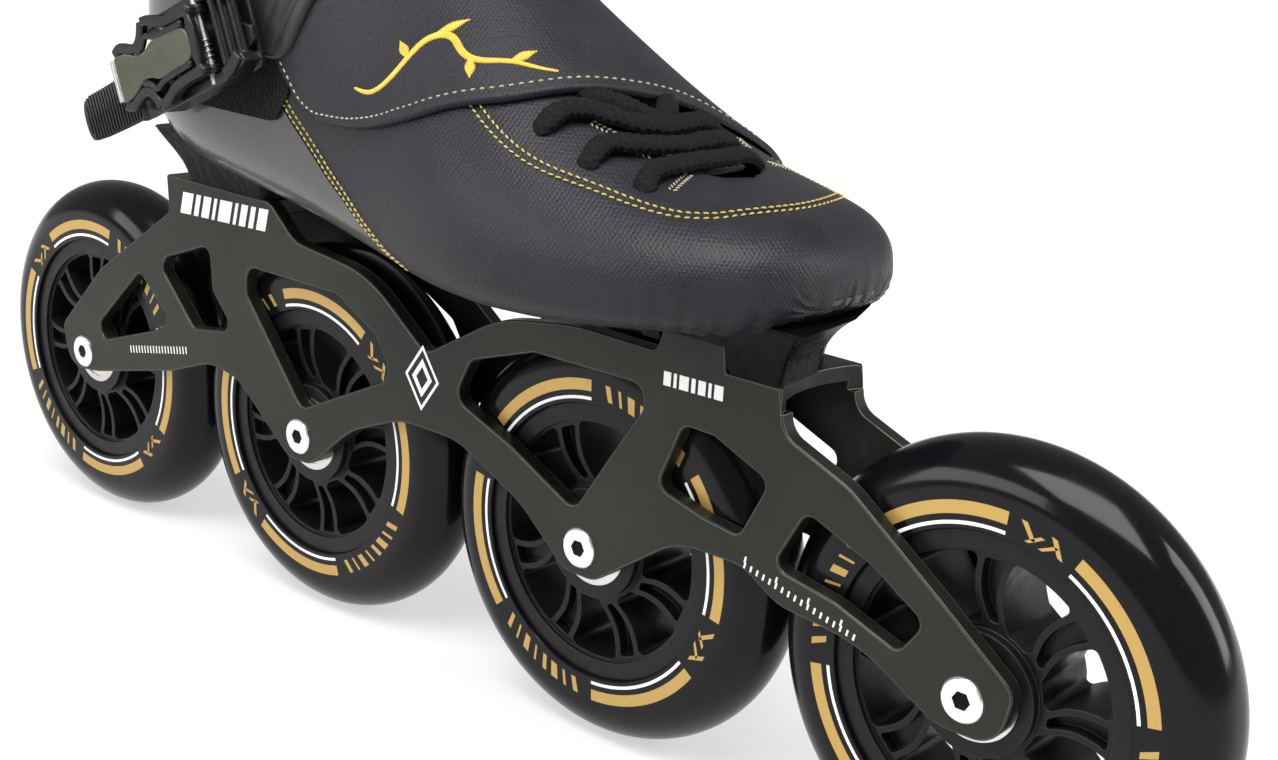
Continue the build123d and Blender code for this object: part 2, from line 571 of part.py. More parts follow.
def ladder_solid(band):
    """Toothed strap: straight through the buckle, down to the ankle, then round it over the cuff pad."""
    half = LADDER_HALF
    low, high, tooth = 0.2, 1.9, 2.55
    straight_end = 26.8
    strap = slab([(-58, -half - 2.6), (-58, half - 2.6), (-24, half), (straight_end, half),
                  (straight_end, -half), (-24, -half)], [6, 6, 30, 0, 0, 30], low, high)
    pitch, length = 3.0, 1.4
    first = PAWL_PIVOT_U - 5.0 - pitch / 2
    for index in range(-15, 8):
        u = first + index * pitch
        drop = 2.6 * min(max((-24 - u) / 34, 0), 1)
        strap += rail_plate([(u - length / 2, high - 0.2), (u - length / 3, tooth), (u + length / 3, tooth),
                             (u + length / 2, high - 0.2)], 0, -5.6 - drop, 5.6 - drop)
    base = buckle_plane()
    leave = base.origin + base.x_dir * (straight_end - 0.3) + base.z_dir * (low + 1.0)
    meet_x, meet_y = -29.0, -36.7
    slope = sqrt(1 + CUFF_SLOPE ** 2)
    meet = Vector(meet_x, meet_y, cuff_line(meet_x))
    sections = [ladder_section(leave, base.x_dir, base.y_dir),
                ladder_section(meet, (1 / slope, 0.17 / slope, CUFF_SLOPE / slope),
                               (-CUFF_SLOPE / slope, 0.03, 1 / slope))]
    link = Solid.make_loft(sections)
    front = Pos(meet_x - 1.5 + 60, 0, 190) * Box(120, 200, 200)
    rest = Pos(BUCKLE_AT[0] - 20, 60, 190) * Box(240, 120, 200)
    return strap + link + one_solid(band & (front + rest))


# ------------------------------------------------------------------ blocks and bolts under the boot
def block_section(x_back, x_front, half, flare, z):
    """Block outline in plan: its front inner corner is cut back."""
    points = [
        (x_back - flare, -half - flare * 0.6), (x_front + flare, -half - flare * 0.6),
        (x_front + flare - 2, 1.0), (x_front + flare - 8, half * 0.75 + flare * 0.5),
        (x_front + flare - 15, half + flare * 0.6), (x_back - flare, half + flare * 0.6),
    ]
    line = FilletPolyline(*points, radius=[1, 1, 6, 6, 4, 1], close=True)
    return Pos(0, 0, z) * Wire(line.edges())


def make_mounts(boot_outer, boot):
    front = Solid.make_loft([
        block_section(72.0, 113.0, 16.2, 0.0, 111.3), block_section(72.0, 113.0, 16.2, 0.8, 116.0),
        block_section(72.0, 113.0, 16.2, 3.5, 121.0), block_section(72.0, 113.0, 16.2, 9.0, 126.0),
    ])
    frame_top = side_prism([(40, 100), (130, 100), (130, 111.3), (99.0, 111.3), (97.8, 112.6), (97.1, 117.5),
                            (77.4, 117.5), (77.4, 114.6), (40, 114.6)])
    front = one_solid(front - frame_top - boot_outer)
    back_rounded = [(-111.5, 0.0, 122.0), (-111.5, 0.8, 125.0), (-111.5, 4.0, 130.0), (-111.5, 10.0, 137.0)]
    wires = []
    for x_back, flare, z in back_rounded:
        half = 16.2 + flare * 0.5
        corners = [(x_back - flare, -half), (-72.0 + flare * 0.5, -half), (-72.0 + flare * 0.5, half),
                   (x_back - flare, half)]
        line = FilletPolyline(*corners, radius=[5, 3, 3, 5], close=True)
        wires.append(Pos(0, 0, z) * Wire(line.edges()))
    rear = one_solid(Solid.make_loft(wires) - boot_outer)

    bolts, washers, inserts = [], [], []
    for x, deck_low, deck_top, top, head in (
        (FRONT_BOLT_X, 107.6, FRONT_BOSS_Z, 122.6, 2.4), (REAR_BOLT_X, 117.2, REAR_DECK_Z, 130.2, 3.6),
    ):
        washers.append(one_solid(Pos(x, 0, deck_low - 0.6) * (Cylinder(6.2, 1.2) - Cylinder(3.05, 1.2))))
        head_z = deck_low - 1.2 - head
        screw = Pos(x, 0, head_z) * extrude(Circle(4.8), amount=head)
        screw += Pos(x, 0, head_z) * extrude(Circle(3.0), amount=top - 0.8 - head_z)
        screw -= Pos(x, 0, head_z) * extrude(RegularPolygon(2.3, 6), amount=head * 0.6)
        bolts.append(one_solid(screw))
        body = Pos(x, 0, deck_top) * extrude(Circle(5.0), amount=top - deck_top)
        bore = Pos(x, 0, deck_top) * extrude(Circle(3.0), amount=top - 0.8 - deck_top)
        front = front - body
        rear = rear - body
        boot["sole_plate"] = boot["sole_plate"] - body
        boot["liner"] = boot["liner"] - body
        inserts.append(one_solid(body - bore))
    save("front_mount_block", one_solid(front))
    save("rear_mount_block", one_solid(rear))
    save("mount_bolts", *bolts)
    save("mount_washers", *washers)
    save("mount_inserts", *inserts)


def make_rivets(pieces):
    """Flush rivets: two under the buckle, one at the strap's fixed end on the inner side."""
    rivets = []
    for u in (19.0, 0.0):
        origin = buckle_plane().origin + buckle_plane().x_dir * u
        plane = Plane(origin=origin, x_dir=(1, 0, 0), z_dir=(0, 1, 0))
        rivets.append(one_solid(extrude(plane * Circle(2.2), amount=9.0)))
    anchor_x = -60.0
    anchor = Plane(origin=(anchor_x, 46.0, cuff_line(anchor_x)), x_dir=(1, 0, 0), z_dir=(0, -1, 0))
    rivets.append(one_solid(extrude(anchor * Circle(2.2), amount=16.0)))
    for name, shape in pieces.items():
        for rivet in rivets:
            shape = shape - rivet
        pieces[name] = shape
    return rivets


def make_all():
    make_wheels()
    make_frame()
    boot_outer, boot = make_boot()
    straps, laces, ladder_band = make_straps()
    buckle, pins, springs = make_buckle()
    straps["ladder_strap"] = ladder_solid(ladder_band)
    make_mounts(boot_outer, boot)
    riveted = {**straps, "buckle_base": buckle["buckle_base"]}
    for name in ("heel_shell", "upper", "liner"):
        riveted[name] = boot[name]
    rivets = make_rivets(riveted)
    for name, shape in {**boot, **buckle, **riveted}.items():
        save(name, one_solid(shape))
    save("laces", *laces)
    save("buckle_pins", *pins)
    save("buckle_springs", *springs)
    save("strap_rivets", *rivets)


make_all()
os.makedirs("parts", exist_ok=True)
for node, shape in parts.items():
    export_step(shape, f"parts/{node}.step")
    print(node, round(shape.volume, 1), len(shape.solids()))
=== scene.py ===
"""Looks of the right-foot inline speed skate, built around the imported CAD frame. Blender 4.5."""

import json
import math

import bpy
import bmesh
import numpy as np
from mathutils import Matrix, Vector


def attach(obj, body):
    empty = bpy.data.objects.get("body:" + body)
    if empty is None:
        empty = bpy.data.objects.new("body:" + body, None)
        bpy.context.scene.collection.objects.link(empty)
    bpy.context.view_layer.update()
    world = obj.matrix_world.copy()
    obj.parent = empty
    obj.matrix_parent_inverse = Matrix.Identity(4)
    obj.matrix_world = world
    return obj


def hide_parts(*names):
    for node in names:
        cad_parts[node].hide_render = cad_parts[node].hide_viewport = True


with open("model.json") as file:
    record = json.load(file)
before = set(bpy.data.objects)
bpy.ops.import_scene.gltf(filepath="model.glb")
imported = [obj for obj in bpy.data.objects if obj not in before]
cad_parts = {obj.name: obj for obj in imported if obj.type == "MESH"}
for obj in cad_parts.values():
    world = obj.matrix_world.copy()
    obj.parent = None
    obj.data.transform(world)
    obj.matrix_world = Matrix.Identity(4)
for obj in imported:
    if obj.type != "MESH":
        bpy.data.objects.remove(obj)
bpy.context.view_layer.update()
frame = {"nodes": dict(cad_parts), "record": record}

MM = 0.001
NODES = frame["nodes"]

# ------------------------------------------------------------------ places, in millimetres
WHEEL_HALF = 12.0
RAIL_FACE = 16.5
AXLE_Z = 55.0
PITCH = 335.28 / 3
AXLE_X = [(k - 1.5) * PITCH for k in range(4)]

BUCKLE_AT = (-67.0, -41.2, 163.0)
BUCKLE_TILT = math.radians(24.0)     # the strap rises towards the toe
BUCKLE_RAISED = 3.0             # the buckle's parts sit this far above the ladder strap's middle line
SOCKET_R = 2.25


# ================================================================== materials
class Shade:
    """A material's node tree, with short ways to add to it."""

    def __init__(self, name, colour, roughness, metallic=0.0, **sockets):
        self.mat = bpy.data.materials.new(name)
        self.mat.use_nodes = True
        self.tree = self.mat.node_tree
        self.bsdf = self.tree.nodes["Principled BSDF"]
        self.set(self.bsdf, {"Base Color": (*colour, 1), "Roughness": roughness, "Metallic": metallic})
        self.set(self.bsdf, {key.replace("_", " "): value for key, value in sockets.items()})
        self.height = None
        self.place = self.add("ShaderNodeTexCoord").outputs["Object"]

    def set(self, node, values):
        for key, value in values.items():
            node.inputs[key].default_value = value

    def add(self, kind, values=None, **properties):
        node = self.tree.nodes.new(kind)
        for key, value in properties.items():
            setattr(node, key, value)
        self.set(node, values or {})
        return node

    def link(self, out, into):
        self.tree.links.new(out, into)

    def fill(self, sockets, values):
        """Each socket takes a number, a colour or another node's output."""
        for socket, value in zip(sockets, values):
            if isinstance(value, (int, float)):
                socket.default_value = value
            elif isinstance(value, tuple):
                socket.default_value = (*value, 1)
            else:
                self.link(value, socket)

    def stretched(self, scale, source=None):
        """Object coordinates with their own scale along each axis."""
        mapping = self.add("ShaderNodeMapping", {"Scale": scale})
        self.link(source or self.place, mapping.inputs["Vector"])
        return mapping.outputs["Vector"]

    def noise(self, scale, detail=3.0, rough=0.5, source=None):
        node = self.add("ShaderNodeTexNoise", {"Scale": scale, "Detail": detail, "Roughness": rough})
        self.link(source or self.place, node.inputs["Vector"])
        return node.outputs["Fac"]

    def wave(self, scale, source=None):
        """Diagonal bands."""
        node = self.add("ShaderNodeTexWave", {"Scale": scale}, bands_direction="DIAGONAL")
        self.link(source or self.place, node.inputs["Vector"])
        return node.outputs["Fac"]

    def twill(self, scale, mirror):
        """Two sets of diagonal threads across each other."""
        return self.math("MULTIPLY", self.wave(scale), self.wave(scale, self.stretched(mirror)))

    def cells(self, scale):
        node = self.add("ShaderNodeTexVoronoi", {"Scale": scale})
        self.link(self.place, node.inputs["Vector"])
        return node.outputs["Distance"]

    def math(self, operation, a, b):
        node = self.add("ShaderNodeMath", operation=operation)
        self.fill(node.inputs, (a, b))
        return node.outputs[0]

    def ramp(self, value, low, high, out_low=0.0, out_high=1.0):
        node = self.add("ShaderNodeMapRange", {"From Min": low, "From Max": high, "To Min": out_low,
                                               "To Max": out_high})
        self.link(value, node.inputs["Value"])
        return node.outputs["Result"]

    def blend_colour(self, factor, first, second):
        node = self.add("ShaderNodeMix", data_type="RGBA")
        self.fill((node.inputs[0], node.inputs[6], node.inputs[7]), (factor, first, second))
        return node.outputs[2]

    def paint(self, factor, first, second):
        """Surface colour between two, by a factor from 0 to 1."""
        self.link(self.blend_colour(factor, first, second), self.bsdf.inputs["Base Color"])

    def rough(self, value, low, high, out_low, out_high):
        self.link(self.ramp(value, low, high, out_low, out_high), self.bsdf.inputs["Roughness"])

    def bump(self, height, depth, strength=1.0):
        """Depth is in millimetres. Each bump adds to those before it."""
        node = self.add("ShaderNodeBump", {"Strength": strength, "Distance": depth * MM})
        self.link(height, node.inputs["Height"])
        if self.height is not None:
            self.link(self.height, node.inputs["Normal"])
        self.height = node.outputs["Normal"]
        self.link(self.height, self.bsdf.inputs["Normal"])

    def edges(self, radius, share, samples=6):
        """Rounded edges for shading, and a mask that reaches share on them."""
        bevel = self.add("ShaderNodeBevel", {"Radius": radius * MM}, samples=samples)
        self.height = bevel.outputs["Normal"]
        self.link(self.height, self.bsdf.inputs["Normal"])
        geometry = self.add("ShaderNodeNewGeometry")
        dot = self.add("ShaderNodeVectorMath", operation="DOT_PRODUCT")
        self.link(bevel.outputs["Normal"], dot.inputs[0])
        self.link(geometry.outputs["True Normal"], dot.inputs[1])
        return self.math("MULTIPLY", self.ramp(dot.outputs["Value"], 0.999, 0.90), share)


def tinted(colour, factor):
    """The colour made darker or lighter."""
    return tuple(c * factor for c in colour)


def leather(name, colour, gloss=0.46):
    """Microfibre with a fine woven grain and slow changes of tone."""
    shade = Shade(name, colour, gloss, Specular_IOR_Level=0.24)
    tone = shade.noise(45, 4, 0.6)
    fleck = shade.noise(1600, 2)
    mixed = shade.math("ADD", shade.math("MULTIPLY", tone, 0.6), shade.math("MULTIPLY", fleck, 0.4))
    shade.paint(shade.ramp(mixed, 0.36, 0.64), tinted(colour, 0.8), tinted(colour, 1.55))
    shade.rough(tone, 0.3, 0.7, gloss - 0.07, gloss + 0.08)
    shade.bump(shade.twill(420, (1, 1, -1)), 0.12, 0.6)
    shade.bump(shade.cells(900), 0.10, 0.6)
    shade.bump(shade.noise(110, 4), 0.25, 0.35)
    return shade.mat


def thread(name, colour):
    """Twisted sewing thread with a slight sheen."""
    shade = Shade(name, colour, 0.55, Sheen_Weight=0.3)
    shade.paint(shade.noise(700, 2), tinted(colour, 0.72), tinted(colour, 1.2))
    shade.bump(shade.wave(1500), 0.08, 0.6)
    return shade.mat


def plastic(name, colour, gloss, grain=0.05, grain_scale=900, edge=None, shine=0.26):
    """Moulded plastic; edge is a paler colour painted on its edges as a painted highlight."""
    shade = Shade(name, colour, gloss, Specular_IOR_Level=shine)
    tone = shade.ramp(shade.noise(60, 3), 0.35, 0.65)
    if edge is None:
        shade.paint(tone, tinted(colour, 0.85), tinted(colour, 1.18))
    else:
        base = shade.blend_colour(tone, tinted(colour, 0.85), tinted(colour, 1.18))
        # painted highlight: the edge colour is painted along the bevelled edges
        shade.paint(shade.edges(0.35, 0.55), base, edge)
    shade.rough(shade.noise(220, 3), 0.3, 0.7, gloss - 0.05, gloss + 0.07)
    shade.bump(shade.noise(grain_scale, 3), grain, 0.6)
    return shade.mat


def metal(name, colour, gloss, brushed=0.03, scratches=(1, 40, 40)):
    """Bare metal, brushed along the axis whose scratch scale is 1."""
    shade = Shade(name, colour, gloss, 1.0)
    shade.paint(shade.ramp(shade.noise(90, 3), 0.3, 0.7), tinted(colour, 0.88), colour)
    shade.rough(shade.noise(400, 2), 0.3, 0.7, gloss - 0.05, gloss + 0.08)
    shade.bump(shade.noise(60, 2, source=shade.stretched(scratches)), brushed, 0.5)
    return shade.mat


def anodised(name):
    """Dark olive-grey anodised aluminium with a milled face; its machined edges are painted paler, partly
    bare metal and partly a painted edge highlight.
    """
    shade = Shade(name, (0.020, 0.023, 0.018), 0.42, 0.55, Specular_IOR_Level=0.30)
    edge_highlight_mask = shade.edges(0.45, 0.6, 8)
    tone = shade.ramp(shade.noise(14, 4), 0.35, 0.65)
    base = shade.blend_colour(tone, (0.0155, 0.0175, 0.0140), (0.0235, 0.0265, 0.0205))
    # painted highlight: paler colour along the edges, partly the bare metal of machined edges
    shade.paint(edge_highlight_mask, base, (0.24, 0.26, 0.22))
    shade.rough(shade.noise(240, 3), 0.3, 0.7, 0.36, 0.47)
    shade.bump(shade.noise(2200, 2), 0.02, 0.6)
    shade.bump(shade.noise(9, 2, source=shade.stretched((1, 1, 26))), 0.03, 0.3)
    return shade.mat


def tyre_rubber(name):
    """Glossy black polyurethane with faint smears and dust."""
    black = (0.003, 0.003, 0.004)
    shade = Shade(name, black, 0.11, Specular_IOR_Level=0.15, Coat_Weight=0.08, Coat_Roughness=0.04)
    dust = shade.noise(900, 3, 0.7)
    shade.paint(shade.ramp(dust, 0.62, 0.80), black, (0.012, 0.0115, 0.0115))
    shade.rough(shade.noise(26, 5, 0.65), 0.30, 0.72, 0.09, 0.27)
    shade.bump(shade.noise(75, 3), 0.05, 0.35)
    return shade.mat


def hub_plastic(name):
    """Black moulded plastic with slightly paler edges painted on as highlights."""
    shade = Shade(name, (0.005, 0.005, 0.0055), 0.34, Specular_IOR_Level=0.20)
    edge_highlight_mask = shade.edges(0.5, 0.35)
    base = shade.blend_colour(shade.noise(40, 3), (0.0035, 0.0035, 0.004), (0.007, 0.007, 0.0075))
    # painted highlight: a paler colour along the edges
    shade.paint(edge_highlight_mask, base, (0.05, 0.05, 0.05))
    shade.rough(shade.noise(300, 3), 0.3, 0.7, 0.30, 0.46)
    shade.bump(shade.noise(1400, 2), 0.03, 0.6)
    return shade.mat


def shell_laminate(name, colour, gloss):
    """Semi-gloss resin over a woven laminate whose tows show faintly."""
    shade = Shade(name, colour, gloss, Specular_IOR_Level=0.3, Coat_Weight=0.35, Coat_Roughness=0.10)
    tows = shade.ramp(shade.twill(110, (1, 1, -1)), 0.1, 0.6, 0.0, 0.7)
    base = shade.blend_colour(tows, tinted(colour, 0.93), tinted(colour, 1.08))
    cloud = shade.noise(30, 4, 0.6)
    shade.paint(shade.ramp(cloud, 0.35, 0.7, 0.0, 0.5), base, tinted(colour, 1.5))
    shade.rough(cloud, 0.3, 0.7, gloss - 0.06, gloss + 0.10)
    shade.bump(shade.noise(60, 3), 0.12, 0.4)
    return shade.mat


def pile(name, colour):
    """Looped fabric: matt, rough and a little fuzzy."""
    shade = Shade(name, colour, 0.95, Specular_IOR_Level=0.15, Sheen_Weight=0.04, Sheen_Roughness=0.5)
    loops = shade.cells(1100)
    shade.paint(loops, tinted(colour, 0.5), tinted(colour, 1.8))
    shade.bump(loops, 0.5, 0.9)
    shade.bump(shade.noise(500, 4, 0.7), 0.5, 0.6)
    return shade.mat


def knit(name, colour):
    """Knitted lining."""
    shade = Shade(name, colour, 0.88, Sheen_Weight=0.25)
    weave = shade.twill(420, (-1, 1, 1))
    shade.paint(weave, tinted(colour, 0.6), tinted(colour, 1.5))
    shade.bump(weave, 0.3, 0.8)
    shade.bump(shade.noise(90, 3), 0.5, 0.4)
    return shade.mat


def lace_weave(name):
    """Flat braid: two diagonal runs of yarn, from the piece's own length-wise coordinates."""
    shade = Shade(name, (0.0025, 0.0025, 0.0025), 0.58, Specular_IOR_Level=0.22)
    uv = shade.add("ShaderNodeUVMap").outputs["UV"]
    runs = [shade.wave(2.2, shade.stretched((1, lean, 0), uv)) for lean in (1, -1)]
    braid = shade.math("MAXIMUM", *runs)
    fuzz = shade.noise(1500, 3)
    shade.paint(shade.math("MULTIPLY", braid, fuzz), (0.0008, 0.0008, 0.0008), (0.008, 0.008, 0.0085))
    shade.bump(braid, 0.35, 0.9)
    shade.bump(fuzz, 0.2, 0.6)
    return shade.mat


def ink(name, colour, gloss, metallic=0.0):
    """Printed layer with a little wear."""
    shade = Shade(name, colour, gloss, metallic)
    wear = shade.noise(500, 4, 0.7)
    shade.paint(shade.ramp(wear, 0.60, 0.82), colour, tinted(colour, 0.55))
    shade.bump(wear, 0.02, 0.5)
    return shade.mat


def floor_material():
    """White paper that glows as painted light: dimmer near the skate as painted shade, brighter far behind
    it, and grey enough to take shadows.
    """
    white = (1.0, 1.0, 1.0, 1.0)
    shade = Shade("floor", (0.42, 0.42, 0.42), 0.50, Specular_IOR_Level=0.3, Emission_Color=white)
    shade.paint(shade.noise(3, 2), (0.415, 0.415, 0.415), (0.425, 0.425, 0.425))
    far = shade.add("ShaderNodeVectorMath", operation="LENGTH")
    shade.link(shade.place, far.inputs[0])
    # painted light: the floor's glow grows from dim near the skate to bright far away
    painted_glow = shade.ramp(far.outputs["Value"], 0.30, 1.1, 0.52, 0.90)
    shade.link(painted_glow, shade.bsdf.inputs["Emission Strength"])
    return shade.mat


MAT = {
    "tyre": tyre_rubber("tyre_polyurethane"),
    "hub": hub_plastic("hub_plastic"),
    "bearing_steel": metal("bearing_steel", (0.62, 0.61, 0.60), 0.2),
    "bearing_shield": metal("bearing_shield", (0.72, 0.66, 0.52), 0.32),
    "cage": plastic("cage_nylon", (0.55, 0.50, 0.42), 0.5),
    "axle": metal("axle_aluminium", (0.86, 0.86, 0.86), 0.28, brushed=0.02, scratches=(40, 1, 40)),
    "frame": anodised("frame_anodised"),
    "block": plastic("block_plastic", (0.0020, 0.0020, 0.0022), 0.38, grain=0.9, grain_scale=260, shine=0.07),
    "fastener": metal("fastener_steel", (0.45, 0.45, 0.45), 0.35),
    "laminate": shell_laminate("sole_laminate", (0.003, 0.003, 0.0035), 0.45),
    "shell": shell_laminate("heel_shell", (0.030, 0.031, 0.027), 0.28),
    "upper": leather("upper_microfibre", (0.0105, 0.0100, 0.0135)),
    "strap": leather("strap_microfibre", (0.0110, 0.0105, 0.0140), 0.52),
    "lining": knit("lining_knit", (0.012, 0.012, 0.013)),
    "insole": knit("insole_cover", (0.035, 0.035, 0.037)),
    "lace": lace_weave("lace_braid"),
    "patch": pile("patch_pile", (0.003, 0.003, 0.0033)),
    "pad": plastic("pad_rubber", (0.018, 0.018, 0.018), 0.36, grain=0.06),
    # the ladder's, buckle's and lever's edge colours are painted edge highlights
    "ladder": plastic("ladder_plastic", (0.006, 0.006, 0.0075), 0.36, grain=0.04, edge=(0.03, 0.03, 0.03)),
    "buckle": plastic("buckle_plastic", (0.006, 0.006, 0.0065), 0.27, grain=0.03, edge=(0.05, 0.05, 0.05)),
    "lever": plastic("lever_paint", (0.050, 0.055, 0.033), 0.30, grain=0.03, edge=(0.20, 0.22, 0.17)),
    # painted shadow: near-black colour standing in for the shade inside the axles' sockets
    "socket": plastic("socket_shadow", (0.003, 0.003, 0.003), 0.55, shine=0.1),
    "thread_gold": thread("thread_gold", (0.46, 0.35, 0.05)),
    "thread_pale": thread("thread_pale", (0.36, 0.34, 0.20)),
    "gold_ink": ink("gold_ink", (0.46, 0.29, 0.08), 0.36, 0.45),
    "white_ink": ink("white_ink", (0.82, 0.82, 0.80), 0.5),
    "gold_embroidery": thread("gold_embroidery", (0.70, 0.46, 0.03)),
}


def dress(obj, material):
    """Give the object one material."""
    obj.data.materials.clear()
    obj.data.materials.append(MAT[material])


def dress_cad_nodes():
    """Every CAD node that stays visible takes the material of its slot."""
    for part in frame["record"]["subparts"]:
        obj = NODES[part["node"]]
        for index in range(len(obj.data.materials)):
            obj.data.materials[index] = MAT[part["material_slot"]]


# ================================================================== meshes
def in_scene(name, data):
    """New object in the scene."""
    obj = bpy.data.objects.new(name, data)
    bpy.context.scene.collection.objects.link(obj)
    return obj


def mesh_object(name, points, faces, material, smooth=True, weld=True, sharp_angle=50):
    """Object from points in millimetres."""
    mesh = bpy.data.meshes.new(name)
    mesh.from_pydata([tuple(p) for p in np.asarray(points, float) * MM], [], [tuple(f) for f in faces])
    bm = bmesh.new()
    bm.from_mesh(mesh)
    if weld:
        bmesh.ops.remove_doubles(bm, verts=bm.verts, dist=2e-6)
        bmesh.ops.dissolve_degenerate(bm, edges=bm.edges, dist=1e-7)
    bmesh.ops.recalc_face_normals(bm, faces=bm.faces)
    limit = math.radians(sharp_angle)
    for face in bm.faces:
        face.smooth = smooth
    for edge in bm.edges:
        if len(edge.link_faces) == 2 and edge.calc_face_angle(0) > limit:
            edge.smooth = False
    bm.to_mesh(mesh)
    bm.free()
    obj = in_scene(name, mesh)
    dress(obj, material)
    return obj


def settle(obj, body, slot, *replaced):
    """Attach one piece to its body and hide the CAD nodes it replaces; slot is not used."""
    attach(obj, body)
    if replaced:
        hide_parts(*replaced)
    return obj


def baked(obj):
    """Apply the object's modifiers and shade it smooth."""
    mesh = bpy.data.meshes.new_from_object(obj.evaluated_get(bpy.context.evaluated_depsgraph_get()))
    obj.modifiers.clear()
    obj.data = mesh
    for polygon in mesh.polygons:
        polygon.use_smooth = True
    return obj


def grid_faces(rows, cols, start=0, wrap=False):
    faces = []
    for i in range(rows - 1):
        for j in range(cols - 1 if not wrap else cols):
            k = (j + 1) % cols
            a, b = start + i * cols + j, start + i * cols + k
            faces.append((a, b, b + cols, a + cols))
    return faces


def circle(radius, sides):
    """Corners of a regular polygon round the origin."""
    return [(radius * math.cos(2 * math.pi * k / sides), radius * math.sin(2 * math.pi * k / sides))
            for k in range(sides)]


def prism_faces(n):
    """Faces of a prism: n points of its bottom outline come first, then those of its top."""
    sides = [(i, (i + 1) % n, n + (i + 1) % n, n + i) for i in range(n)]
    return [tuple(range(n)), tuple(range(2 * n - 1, n - 1, -1))] + sides


def printed(side, face, proud):
    """Low and high y of a printed layer on the outer (-1) or inner (1) flat face."""
    return sorted((side * (face - 0.02), side * (face + proud)))


def unit(rows):
    """Each row's direction, with length 1."""
    return rows / np.linalg.norm(rows, axis=1, keepdims=True)


FLAT = {"smooth": False, "weld": False}         # options of a printed or plain flat mesh


class Pile:
    """Points and faces gathered from many small shapes into one mesh."""

    def __init__(self):
        self.points = []
        self.faces = []

    def add(self, points, faces):
        base = len(self.points)
        self.points.extend(np.asarray(points, float).tolist())
        self.faces.extend([tuple(base + i for i in face) for face in faces])

    def plate(self, outline, y0, y1):
        """Flat plate with an (x, z) outline between two y."""
        self.add([(x, y, z) for y in (y0, y1) for x, z in outline], prism_faces(len(outline)))

    def strip(self, left, right, y0, y1):
        """Plate between two (x, z) lines of the same length."""
        n = len(left)
        points = [(x, y, z) for y in (y0, y1) for line in (left, right) for x, z in line]
        faces = [(0, n, 3 * n, 2 * n), (n - 1, 3 * n - 1, 4 * n - 1, 2 * n - 1)]
        for a, b in ((0, n), (2 * n, 3 * n), (0, 2 * n), (n, 3 * n)):
            faces += [(a + i, a + i + 1, b + i + 1, b + i) for i in range(n - 1)]
        self.add(points, faces)

    def object(self, name, material, **options):
        return mesh_object(name, self.points, self.faces, material, **options)

    def piece(self, name, material, body, slot, *replaced, **options):
        """The pile as one piece."""
        return settle(self.object(name, material, **options), body, slot, *replaced)


# ================================================================== wheels
TYRE_IN, SHOULDER_R, TREAD_R = 36.5, 44.0, 55.0
GOLD_RING, WHITE_RING = (40.0, 43.0), (37.7, 38.5)


def tyre_profile():
    """(radius, y) round the tyre's section: flat printed sides and an elliptical tread."""
    side = [(TYRE_IN, -WHEEL_HALF + 0.25), (TYRE_IN + 0.25, -WHEEL_HALF)]
    side += [(r, -WHEEL_HALF) for r in (38.0, 40.0, 42.0, 43.4)]
    tread = []
    steps = 30
    for k in range(steps + 1):
        t = math.pi * k / steps
        tread.append((SHOULDER_R + (TREAD_R - SHOULDER_R) * math.sin(t), -WHEEL_HALF * math.cos(t)))
    inner = [(TYRE_IN, y) for y in (6.0, 0.0, -6.0)]
    other = [(r, -y) for r, y in reversed(side)]
    return side + tread + other + inner


def make_tyre(number):
    """The profile turned round the wheel's axle."""
    profile = tyre_profile()
    turns = 240
    x0 = AXLE_X[number - 1]
    points = []
    for c, s in circle(1.0, turns):
        points += [(x0 + r * c, y, AXLE_Z + r * s) for r, y in profile]
    # the last turn joins the first
    faces = [tuple(i % len(points) for i in face) for face in grid_faces(turns + 1, len(profile), wrap=True)]
    tyre = mesh_object(f"tyre_cast_{number}", points, faces, "tyre", weld=False, sharp_angle=40)
    settle(tyre, f"wheel_{number}", "tyre", f"tyre_{number}")


def polar(r, degrees, x0):
    """(x, z) on a circle round the axle at x0."""
    a = math.radians(degrees)
    return (x0 + r * math.cos(a), AXLE_Z + r * math.sin(a))


def arc_band(pile, ring, start, end, x0, span):
    """Arc between two radii and two angles, in degrees."""
    steps = max(2, int(abs(end - start) / 1.5))
    angles = [start + (end - start) * k / steps for k in range(steps + 1)]
    pile.strip(*[[polar(r, a, x0) for a in angles] for r in ring], *span)


def slant_bar(pile, middle, width, slant, r0, r1, x0, span):
    """Short bar across the printed ring, leaning by slant degrees."""
    half = width / 2
    low = [polar(r0, middle - half - slant, x0), polar(r0, middle + half - slant, x0)]
    high = [polar(r1, middle + half + slant, x0), polar(r1, middle - half + slant, x0)]
    pile.plate(low + high, *span)


